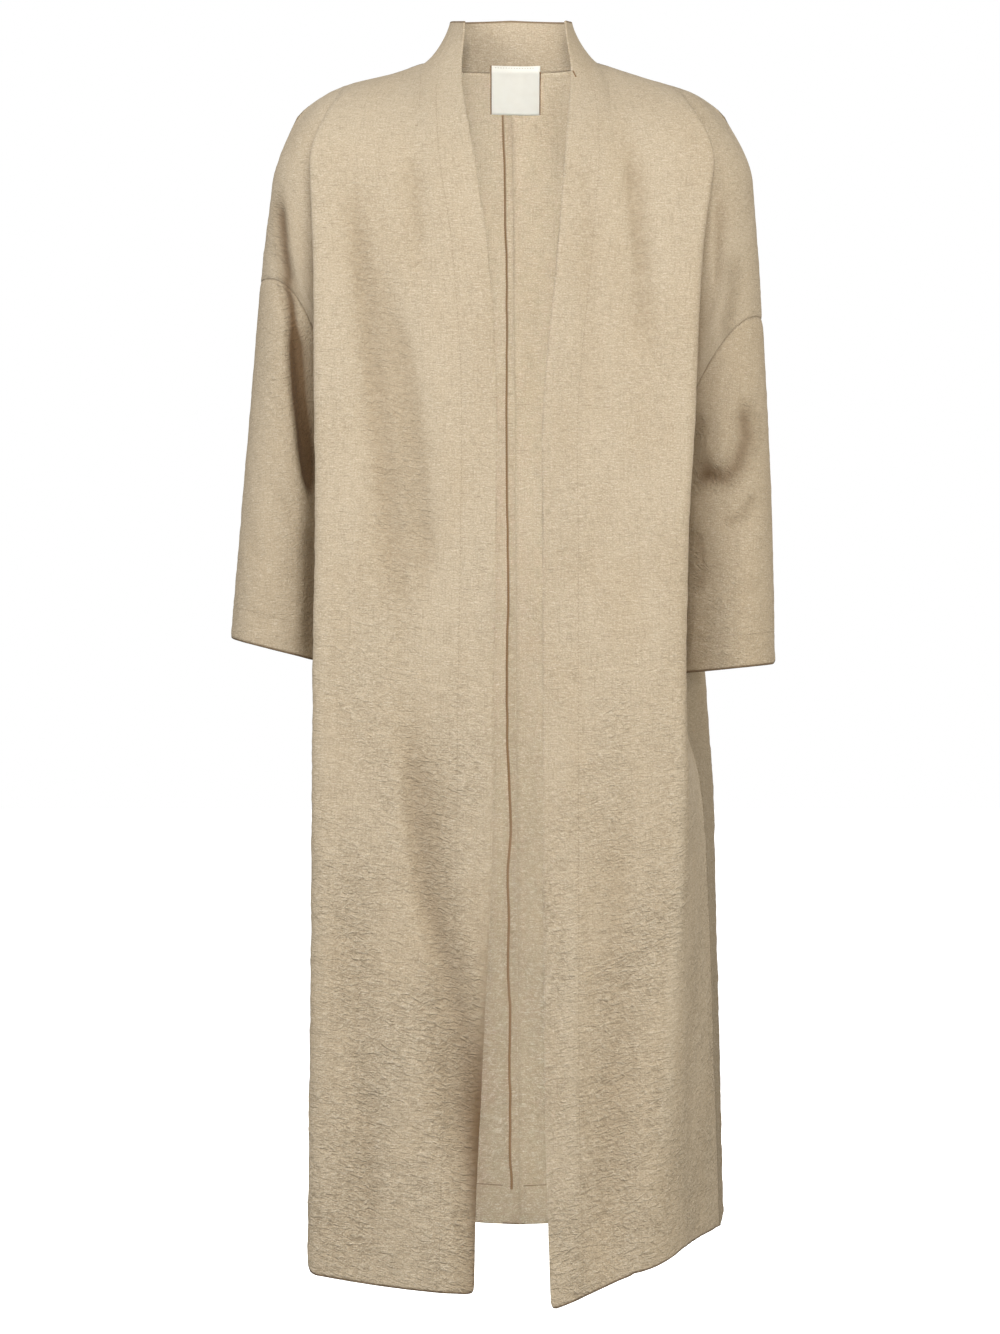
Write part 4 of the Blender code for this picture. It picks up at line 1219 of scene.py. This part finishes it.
def linen(name, shade=1.0, warm=0.0, crinkle_bump=1.0, seam_tint=0.25, fade=0.0):
    """Washed melange linen: slubs, flecks, weave, crinkle and darker seams, with painted shade in
    folds, in crinkle valleys, towards the hem and as a dark rim at the free edges, and painted
    highlight on crests and crinkle ridges.
    """
    material, nodes, shader = new_material(
        name, Specular_IOR_Level=0.18, Sheen_Weight=0.06, Sheen_Roughness=0.55,
        Sheen_Tint=(0.95, 0.90, 0.80, 1.0))
    ramp = nodes.ramp
    flat = nodes.coordinates("flat")
    wear = nodes.parts(nodes.coordinates("wear"))
    # Fold and crease depth, painted as shade in troughs and as a highlight on crests; it also
    # strengthens the crinkle bump.
    hollow = nodes.parts(nodes.coordinates("hollow"))["X"]
    # low: 1 at the hem and 0 higher up; it strengthens the crinkle and paints shade towards the
    # hem.
    low = ramp(nodes.parts(flat)["Y"], -0.95, -0.15, 1.0, 0.0)
    noise = {grain: nodes.noise(flat, *sizes) for grain, sizes in LINEN_GRAINS.items()}

    # amount: strength of the crinkle bump and of its painted shade and painted highlight.
    amount = nodes.math("ADD",
                        nodes.math("MULTIPLY", ramp(noise["patches"], 0.30, 0.70, 0.60, 1.30),
                                   ramp(low, 0.0, 1.0, 0.45, 1.15)),
                        ramp(hollow, 0.10, 0.60, 0.0, 0.55))
    # Painted shade in the crinkle's valleys and painted highlight on its ridges, from the same
    # noises as the crinkle bump.
    deep = nodes.math("ADD", ramp(noise["wavy"], 0.30, 0.50, 0.26, 0.0),
                      ramp(noise["pebbles"], 0.34, 0.48, 0.26, 0.0))
    high = nodes.math("ADD", ramp(noise["wavy"], 0.54, 0.68, 0.0, 0.13),
                      ramp(noise["pebbles"], 0.56, 0.68, 0.0, 0.15))
    colour = tuple(channel * shade for channel in LINEN[:3]) + (1.0,)
    for factor, other in (
            (ramp(noise["broad"], 0.35, 0.70, 0.0, 0.30), LINEN_WARM),
            # Painted shade towards the hem: warmer on all pieces, and greyer where fade is set.
            (ramp(low, 0.0, 1.0, warm, warm + 0.24), LINEN_WARM),
            (ramp(low, 0.0, 1.0, 0.0, fade), LINEN_GREY),
            (ramp(noise["weft"], 0.48, 0.72, 0.0, 0.34), LINEN_GREY),
            (ramp(noise["slub"], 0.61, 0.72, 0.0, 0.40), LINEN_DARK),
            (ramp(noise["light"], 0.56, 0.72, 0.0, 0.42), LINEN_LIGHT),
            (ramp(noise["warp"], 0.50, 0.76, 0.0, 0.36), LINEN_GREY),
            (ramp(noise["grain"], 0.36, 0.50, 0.26, 0.0), LINEN_GREY),
            (ramp(noise["grain"], 0.52, 0.68, 0.0, 0.30), LINEN_LIGHT),
            # Painted crinkle shade and painted highlight.
            (nodes.math("MULTIPLY", deep, amount), LINEN_GREY),
            (nodes.math("MULTIPLY", high, amount), LINEN_LIGHT),
            # Painted shade in folds and creases, darkest in the deepest, and a painted highlight on
            # crests.
            (ramp(hollow, 0.05, 0.75, 0.0, 0.38), LINEN_WARM),
            (ramp(hollow, 0.15, 0.95, 0.0, 0.20), LINEN_DARK),
            (ramp(hollow, 0.70, 1.60, 0.0, 0.90), PAINTED_FOLD_SHADE),
            (ramp(hollow, -0.40, 0.0, 0.26, 0.0), LINEN_LIGHT),
            # A painted dark rim as edge shade along the free edges other than the front opening,
            # then darker seams.
            (ramp(wear["X"], 0.0007, 0.0022, 0.85, 0.0), EDGE_BROWN),
            (ramp(wear["Y"], 0.0001, 0.0011, seam_tint, 0.0), EDGE_BROWN)):
        colour = nodes.tint(factor, colour, other)
    nodes.give(shader["Base Color"], colour)

    folds = nodes.math("ADD", nodes.math("MULTIPLY", noise["wavy"], 0.0025 * crinkle_bump),
                       nodes.math("MULTIPLY", noise["pebbles"], 0.0012 * crinkle_bump))
    threads = nodes.math("ADD", nodes.math("MULTIPLY", noise["weft"], 0.00022),
                         nodes.math("MULTIPLY", noise["warp"], 0.00014))
    threads = nodes.math("ADD", threads, nodes.math("MULTIPLY", noise["slub"], 0.00030))
    height = nodes.math("ADD", nodes.math("MULTIPLY", folds, amount), threads)
    nodes.give(shader["Normal"], nodes.bump(height, 0.85))
    nodes.give(shader["Roughness"], ramp(noise["slub"], 0.3, 0.8, 0.96, 0.84))
    return material


def plain_thread(name, colour):
    """Sewing thread: fine plied ridges on one colour."""
    material, nodes, shader = new_material(name, Roughness=0.8, Specular_IOR_Level=0.2)
    place = nodes.make("ShaderNodeTexCoord").outputs["Object"]
    ply = nodes.noise(place, (1800.0, 1800.0, 1800.0), 1.0)
    dark = tuple(channel * 0.72 for channel in colour[:3]) + (1.0,)
    nodes.give(shader["Base Color"], nodes.tint(nodes.ramp(ply, 0.35, 0.65), dark, colour))
    return material


def label_tape(name):
    """Cream woven label: fine satin ribs and faint mottling."""
    material, nodes, shader = new_material(name, Roughness=0.62, Specular_IOR_Level=0.25,
                                           Sheen_Weight=0.3, Sheen_Roughness=0.4)
    flat = nodes.coordinates("flat")
    ribs = nodes.noise(flat, (300.0, 4200.0, 1.0), 1.0)
    mottle = nodes.noise(flat, (90.0, 120.0, 1.0), 3.0)
    colour = nodes.tint(nodes.ramp(mottle, 0.3, 0.7, 0.0, 0.25), LABEL_CREAM, LABEL_SHADE)
    colour = nodes.tint(nodes.ramp(ribs, 0.35, 0.65, 0.0, 0.18), colour, LABEL_SHADE)
    height = nodes.math("ADD", nodes.math("MULTIPLY", ribs, 0.00008),
                        nodes.math("MULTIPLY", mottle, 0.0002))
    nodes.give(shader["Base Color"], colour)
    nodes.give(shader["Normal"], nodes.bump(height, 0.6))
    return material


# Copies of one linen made a little lighter or darker piece by piece as painted light and shade, the
# back lightest for the dimmer inside; the back and trims also grey towards the hem as painted
# shade.
MATERIALS = {
    "front": linen("linen_front"),
    "back": linen("linen_back", 1.04, 0.04, 1.0, 0.14, 0.46),
    "sleeve": linen("linen_sleeve", 0.99, 0.26, 1.2),
    "collar": linen("linen_collar", 0.97),
    "trim": linen("linen_trim", 1.02, 0.06, 1.0, 0.14, 0.42),
    "label": label_tape("label_cream"),
    "thread": plain_thread("thread_linen", THREAD_LINEN),
    "overlock": plain_thread("thread_brown", THREAD_BROWN),
}


def place_piece(item, kind, *nodes):
    """Give a piece its material and body, and hide the nodes that it replaces."""
    item.data.materials.append(MATERIALS[kind])
    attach(item, "root")
    if nodes:
        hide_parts(*nodes)
    return item


def make_cloths():
    """All seven main pieces with their relief."""
    cloths = []
    for side in SIDES:
        cloths += [body_cloth(side, 1), body_cloth(side, -1), sleeve_cloth(side)]
    cloths.append(collar_cloth())
    measure_edges(cloths)
    for cloth in cloths:
        measure_hems(cloth)
    named = {cloth.name: cloth for cloth in cloths}
    for side in SIDES:
        round_corner(named["front_" + side])
        round_outline(named["back_" + side], HEM_ROUND)
        round_outline(named["sleeve_" + side], CUFF_ROUND)
    round_outline(named["front_right"], HEM_ROUND)
    shared_normals(cloths)
    for cloth in cloths:
        add_relief(cloth)
    return named


cloths = make_cloths()
for name, cloth in cloths.items():
    kind = name.split("_")[0]
    item = place_piece(shell_object(cloth), kind, name)


def crossings(cloth, places, lines, scales, value):
    """Points and normals where each line of vertices reaches a value of its scale."""
    found = [[interpolate(value, scale, rows[line]) for rows in (places, cloth.normals)]
             for line, scale in zip(lines, scales)]
    points, normals = np.array(found).swapaxes(0, 1)
    return points, unit(normals)


def along_rows(cloth, places, distance):
    """One point and normal on each row, at a distance from the front edge or centre back."""
    rows = [*cloth.grids["upper"], *cloth.grids["skirt"][1:]]
    lines = [row[:NEAR_COLUMNS] for row in rows]
    scales = [running_length(places[line]) for line in lines]
    return crossings(cloth, places, lines, scales, distance)


def hem_path(cloth, rise, inside=False):
    """Path at a height above the hem or cuff, with its normals."""
    lines = cloth.grids[cloth.lower][-LOW_ROWS:][::-1].T
    places = cloth.inner if inside else cloth.outer
    points, normals = crossings(cloth, places, lines, cloth.hem_rise[lines], rise)
    return points, normals * (-1.0 if inside else 1.0)


def grid_object(name, upper, lower, uv, shaded_edge_distance=None):
    """Closed object from an upper and a lower grid of points, with painted edge shade at its right
    edge or at the given edge distances.
    """
    size = uv[..., 0].size
    numbers = np.arange(size).reshape(upper.shape[:2])
    faces = grid_faces(numbers)
    rim = np.concatenate([numbers[0, :], numbers[1:, -1], numbers[-1, -2::-1],
                          numbers[-2:0:-1, 0]])
    after = np.roll(rim, -1)
    sides = np.stack([rim, after, after + size, rim + size], axis=-1)
    places = np.concatenate([upper.reshape(-1, 3), lower.reshape(-1, 3)])
    item = mesh_object(name, places,
                       np.concatenate([faces, faces[:, ::-1] + size, sides]).tolist())
    if shaded_edge_distance is None:
        across = running_length(upper, 1)
        shaded_edge_distance = across[:, -1:] - across
    flat = uv.reshape(-1, 2)
    wear = np.stack([shaded_edge_distance.ravel(), np.full(size, SEAM_FAR)], axis=-1)
    own = corner_vertices(item.data) % size
    write_layers(item.data, flat=flat[own], hollow=np.zeros_like(flat[own]), wear=wear[own])
    fix = bmesh.new()
    fix.from_mesh(item.data)
    bmesh.ops.recalc_face_normals(fix, faces=fix.faces)
    fix.to_mesh(item.data)
    fix.free()
    return item


def tube_object(name, points, radii, sides=6):
    """Closed tube of changing thickness along points."""
    radii = np.broadcast_to(radii, len(points))
    along = unit(np.gradient(points, axis=0))
    across = unit(np.cross(along, np.array((0.13, 0.97, 0.2))))
    other = np.cross(along, across)
    turns = np.arange(sides) / sides * 2 * math.pi
    rings = (points[:, None] + radii[:, None, None]
             * (across[:, None] * np.cos(turns)[None, :, None]
                + other[:, None] * np.sin(turns)[None, :, None]))
    numbers = np.arange(len(points) * sides).reshape(-1, sides)
    after = np.roll(numbers, -1, axis=1)
    faces = np.stack([numbers[:-1], after[:-1], after[1:], numbers[1:]], axis=-1).reshape(-1, 4)
    return mesh_object(name, rings.reshape(-1, 3),
                       faces.tolist() + [numbers[0][::-1].tolist(), numbers[-1].tolist()])


def thread_object(name, paths, sizes=STITCH_SIZES):
    """Rows of small rounded stitches that lie in the cloth along paths with their normals."""
    pitch, stitch, radius = (size * MM for size in sizes)
    places = []
    faces = []
    for points, normals in paths:
        arc = running_length(points)
        spacing = np.arange(pitch, arc[-1] - pitch, pitch)
        spots = interpolate(spacing, arc, points)
        ups = unit(interpolate(spacing, arc, normals))
        along = unit(np.gradient(spots, axis=0))
        for spot, direction, up, side in zip(spots, along, ups, np.cross(along, ups)):
            start = len(places)
            for share, wide in STITCH_SHAPE:
                middle = spot + direction * share * stitch + up * radius * (wide - 0.75)
                for a, b in ((1, 0), (0, 1), (-1, 0), (0, -1)):
                    places.append(middle + (side * a + up * b) * radius * wide)
            last = start + 4 * (len(STITCH_SHAPE) - 1)
            for ring in range(start, last, 4):
                for corner in range(4):
                    a, b = ring + corner, ring + (corner + 1) % 4
                    faces.append((a, a + 4, b + 4, b))
            faces.append(tuple(range(start, start + 4)))
            faces.append((last + 3, last + 2, last + 1, last))
    return place_piece(mesh_object(name, places, faces), "thread")


def add_seam_allowance():
    """Centre-back seam allowance, pressed to the wearer's right, with an overlocked edge."""
    cloth = cloths["back_right"]
    section = np.array(ALLOWANCE_SECTION)
    upper = []
    lower = []
    flat = []
    for distance, low, high in section:
        points, normals = along_rows(cloth, cloth.inner, distance * MM)
        upper.append(points - normals * high * MM)
        lower.append(points - normals * low * MM)
        flat.append(np.stack([np.full(len(points), distance * MM), points[:, 2]], axis=-1))
    upper, lower, uv = (np.stack(rows, axis=1) for rows in (upper, lower, flat))
    level = upper[:, 0, 2]
    kept = (level < ALLOWANCE_TOP) & (level > ALLOWANCE_END)
    upper, lower, uv, level = upper[kept], lower[kept], uv[kept], level[kept]
    large, small = ALLOWANCE_WAVES
    wave = waves(level, level * 0, large, 91) + waves(level, level * 0, small, 92)
    wave *= 0.8 + ease((-level - 0.3) / 0.6)
    shift = wave[:, None] * (section[:, 0] / ALLOWANCE_WIDTH) ** 2
    upper[..., 0] += shift
    lower[..., 0] += shift
    upper[..., 1] -= np.abs(shift) * 0.6
    item = place_piece(grid_object("seam_allowance", upper, lower, uv), "trim",
                       "seam_allowance_centre_back")
    edge = (upper[:, -1] + lower[:, -1]) / 2
    edge[:, 1] -= CORD_LIFT * MM
    arc = running_length(edge)
    places = np.arange(0.0, arc[-1], CORD_STEP * MM)
    path = interpolate(places, arc, edge)
    radii = (CORD_RADIUS + CORD_GROWTH * ease((-path[:, 2] - 0.2) / 0.6)) * MM
    radii += CORD_RIPPLE * MM * np.sin(places / (CORD_PITCH * MM) * 2 * math.pi)
    cord = place_piece(tube_object("overlock_edge", path, radii), "overlock")


def add_turnups():
    """Turned-up back hem on each side, with its stitched upper edge."""
    rises = np.array(TURNUP_RISES) * MM
    for side in SIDES:
        cloth = cloths["back_" + side]
        kept = slice(4 if side == "right" else 1, -2)
        upper = []
        lower = []
        flat = []
        for rise in rises:
            points, normals = (rows[kept] for rows in hem_path(cloth, rise, True))
            across = running_length(points)
            pucker = smooth_noise(across, across * 0, TURNUP_CELLS[0], 95)
            pucker += 0.8 * smooth_noise(across, across * 0, TURNUP_CELLS[1], 96)
            near = bell(rise - PUCKER_RISE, PUCKER_REACH)
            top = TURNUP_WALL + TURNUP_PUCKER * near * (1.0 + pucker)
            upper.append(points + normals * top[:, None])
            lower.append(points + normals * TURNUP_GAP)
            flat.append(np.stack([across, np.full(len(across), rise - TURNUP_FLAT)], axis=-1))
        upper, lower, flat = (np.array(rows) for rows in (upper, lower, flat))
        # Distance to the turn-up's top edge, where a dark line is painted as shade.
        shaded_edge_distance = np.broadcast_to(rises[-1] - rises[:, None] + TURNUP_SHADE_OFFSET, flat.shape[:2])
        item = place_piece(grid_object("hem_turnup_" + side, upper, lower, flat, shaded_edge_distance), "trim",
                           "hem_turnup_back_" + side)
        line = upper[TURNUP_LINE]
        thread = thread_object("hem_stitches_" + side, [(line, unit(line - lower[TURNUP_LINE]))])


def cut_path(path, start, end):
    """A path and its normals without their ends."""
    return tuple(rows[start:end] for rows in path)


def add_stitches():
    """Lines of stitches along the facings, hems and cuffs."""
    for side in SIDES:
        front = cloths["front_" + side]
        facing = cut_path(along_rows(front, front.outer, FACING_WIDTH), 8, -3)
        hems = [cut_path(hem_path(front, HEM_WIDTH), 10, -1),
                cut_path(hem_path(cloths["back_" + side], HEM_WIDTH), 1, -1)]
        thread_object("facing_stitches_" + side, [facing])
        thread_object("hem_stitches_outside_" + side, hems)
        thread_object("cuff_stitches_" + side, [hem_path(cloths["sleeve_" + side], CUFF_WIDTH)])


def surface_of(names):
    """Search tree of the outer and inner faces of some pieces."""
    places = []
    faces = []
    for name in names:
        cloth = cloths[name]
        for points in (cloth.outer, cloth.inner):
            start = len(places)
            places += points.tolist()
            faces += [[v + start for v in dict.fromkeys(face)] for face in cloth.faces.tolist()]
    return BVHTree.FromPolygons(places, faces)


def seen_path(name, start, end, count):
    """Points and normals where a straight line, seen from the front, falls on a piece."""
    tree = surface_of([name])
    points = []
    for share in shares(count):
        x, z = mix(np.array(start), np.array(end), share) * MM
        points.append(tree.ray_cast((x, -0.4, z), BACKWARDS)[0])
    return np.array(points, dtype=float), np.tile((0.0, -1.0, 0.0), (count + 1, 1))


def add_neck_details():
    """Short stitched lines under the collar, a bar tack and a loose thread end."""
    right = seen_path("front_right", (-84.9, -19.0), (-85.3, -63.0), 24)
    tack = seen_path("front_right", (-88.6, -78.6), (-86.4, -79.4), 6)[0]
    left = seen_path("front_left", (91.0, -26.0), (91.4, -56.0), 20)
    thread_object("neck_stitches_right", [right], NECK_STITCH_SIZES)
    place_piece(tube_object("bar_tack", tack, 0.55 * MM), "thread")
    thread_object("neck_stitches_left", [left], NECK_STITCH_SIZES)
    mark = seen_path("front_left", (57.6, -22.0), (60.4, -28.0), 6)[0]
    mark[:, 1] -= 0.4 * MM
    place_piece(tube_object("thread_end", mark, 0.60 * MM), "overlock")


def add_label():
    """Blank woven label, sewn on along its top and hanging a little free below."""
    tree = surface_of(["back_left", "back_right", "collar_back"])
    xs = shares(LABEL_FACES, -LABEL_RIGHT_OUT, LABEL_LEFT_OUT)
    zs = shares(LABEL_FACES, LABEL_TOP, LABEL_TOP - LABEL_HEIGHT)
    upper = np.empty((len(zs), len(xs), 3))
    for row, z in enumerate(zs):
        down = row / LABEL_FACES
        for column, x in enumerate(xs):
            across = column / LABEL_FACES * 2.0 - 1.0
            height = z + LABEL_TILT * x
            hit = tree.ray_cast((x, -0.08, min(height, 2.0 * MM)), BACKWARDS)[0]
            wave = LABEL_WAVE * math.sin(3.0 * across + 2.2 * down) * down
            lift = LABEL_LIFT + LABEL_HANG * down ** 2 + wave
            lift += LABEL_CURL * down * across ** 4
            upper[row, column] = (x, hit[1] - lift * MM, height)
    upper[..., 1] = np.minimum(upper[..., 1], upper[..., 1].mean(axis=1)[:, None] + LABEL_BULGE)
    lower = upper + point(0.0, LABEL_WALL, 0.0)
    item = place_piece(grid_object("label_blank", upper, lower, upper[..., (0, 2)]), "label",
                       "neck_label")
    rim = upper[1, 1:-1]
    ahead = np.tile((0.0, -1.0, 0.0), (len(rim), 1))
    pieces = [thread_object("label_stitches", [(rim, ahead)], LABEL_STITCH_SIZES)]
    for name, column, first in (("left", 0, 0), ("right", -1, 3)):
        line = upper[first:, column] + point(0.0, 0.1, 0.0)
        cord = tube_object("label_thread_" + name, line, LABEL_THREAD)
        pieces.append(place_piece(cord, "overlock"))


def add_stage():
    """Plain pale floor, far below the hem as under a standing wearer."""
    mesh = bpy.data.meshes.new("floor")
    corners = [(x * FLOOR_REACH, y * FLOOR_REACH, FLOOR_LEVEL)
               for x, y in ((-1, -1), (1, -1), (1, 1), (-1, 1))]
    mesh.from_pydata(corners, [], [(0, 1, 2, 3)])
    white = (1.0, 1.0, 1.0, 1.0)
    mesh.materials.append(new_material("studio_white", Roughness=0.8, Emission_Color=white,
                                       Base_Color=(0.93, 0.93, 0.93, 1.0),
                                       Emission_Strength=0.8)[0])
    floor = add_item("studio_floor", mesh)
    floor.visible_diffuse = False
    floor.visible_glossy = False


def add_light(name, place, target, size, power, colour=(1.0, 1.0, 1.0)):
    """Soft area light that faces a target."""
    data = bpy.data.lights.new(name, "AREA")
    data.shape = "RECTANGLE"
    data.size, data.size_y = size
    data.energy = power
    data.color = colour
    lamp = add_item(name, data)
    lamp.location = place
    direction = Vector(target) - Vector(place)
    lamp.rotation_euler = direction.to_track_quat("-Z", "Y").to_euler()
    return lamp


def light_only(lamp, pieces, shaded=True):
    """Let a light fall on some pieces alone, shaded by all pieces or by these alone."""
    group = bpy.data.collections.new(lamp.name + "_pieces")
    for item in pieces:
        group.objects.link(item)
    lamp.light_linking.receiver_collection = group
    if not shaded:
        lamp.light_linking.blocker_collection = group


def add_lamps(meshes):
    """Lamps in front, at both sides and behind, one inside the coat and one at its neck."""
    inside = [item for item in meshes if item.name.startswith(INSIDE_PIECES)]
    neck = [item for item in meshes if item.name.startswith(NECK_PIECES)]
    outside = [item for item in meshes if item not in inside and item not in neck]
    middle = (0.0, -0.1, -0.50)
    lamp = add_light("front", (0.20, -2.6, 0.20), middle, (1.0, 1.0), 41.0)
    light_only(lamp, outside)
    add_light("key", (-2.1, -1.9, 0.65), middle, (0.9, 1.4), 40.0)
    add_light("side", (2.6, -1.2, -0.3), (0.1, -0.1, -0.65), (0.9, 1.6), 28.0, (1.0, 0.93, 0.80))
    add_light("back", (0.3, 2.8, -0.2), (0.0, 0.0, -0.55), (1.2, 1.6), 60.0)
    lamp = add_light("inside", (0.01, -0.95, -0.44), (0.01, 0.0, -0.44), (0.06, 1.5), 0.96,
                     (0.985, 1.0, 1.0))
    lamp.data.spread = math.radians(17.0)
    lamp.visible_camera = False
    light_only(lamp, inside, False)
    light_only(add_light("neck", (0.0, -2.6, 0.15), (0.0, 0.0, 0.0), (0.5, 0.5), 55.0), neck)


def add_world():
    """White surroundings for the eye, and a soft fill that is weaker from below."""
    world = bpy.data.worlds.new("studio")
    world.use_nodes = True
    nodes = Nodes(world.node_tree)
    axes = nodes.parts(nodes.make("ShaderNodeTexCoord").outputs["Generated"])
    fill = world.node_tree.nodes["Background"]
    fill.inputs["Color"].default_value = (1.0, 0.985, 0.96, 1.0)
    nodes.give(fill.inputs["Strength"], nodes.ramp(axes["Z"], -1.0, 1.0, FILL_BELOW, FILL_ABOVE))
    white = {"Color": (1.0, 1.0, 1.0, 1.0), "Strength": 1.0}
    seen = nodes.make("ShaderNodeBackground", white)
    rays = nodes.make("ShaderNodeLightPath").outputs["Is Camera Ray"]
    choice = nodes.make("ShaderNodeMixShader", {0: rays, 1: fill.outputs[0], 2: seen.outputs[0]})
    nodes.give(world.node_tree.nodes["World Output"].inputs["Surface"], choice.outputs[0])
    bpy.context.scene.world = world


def add_camera():
    """Camera at the photograph's distance and height, looking level."""
    data = bpy.data.cameras.new("camera")
    data.sensor_width = SENSOR
    data.lens = LENS
    camera = add_item("camera", data)
    camera.location = CAMERA_PLACE
    camera.rotation_euler = (math.pi / 2, 0.0, 0.0)
    bpy.context.scene.camera = camera
    bpy.context.scene.view_settings.view_transform = "Standard"


add_seam_allowance()
add_turnups()
add_stitches()
add_label()
add_neck_details()
meshes = [item for item in bpy.data.objects if item.type == "MESH"]
add_stage()
add_world()
add_lamps(meshes)
add_camera()
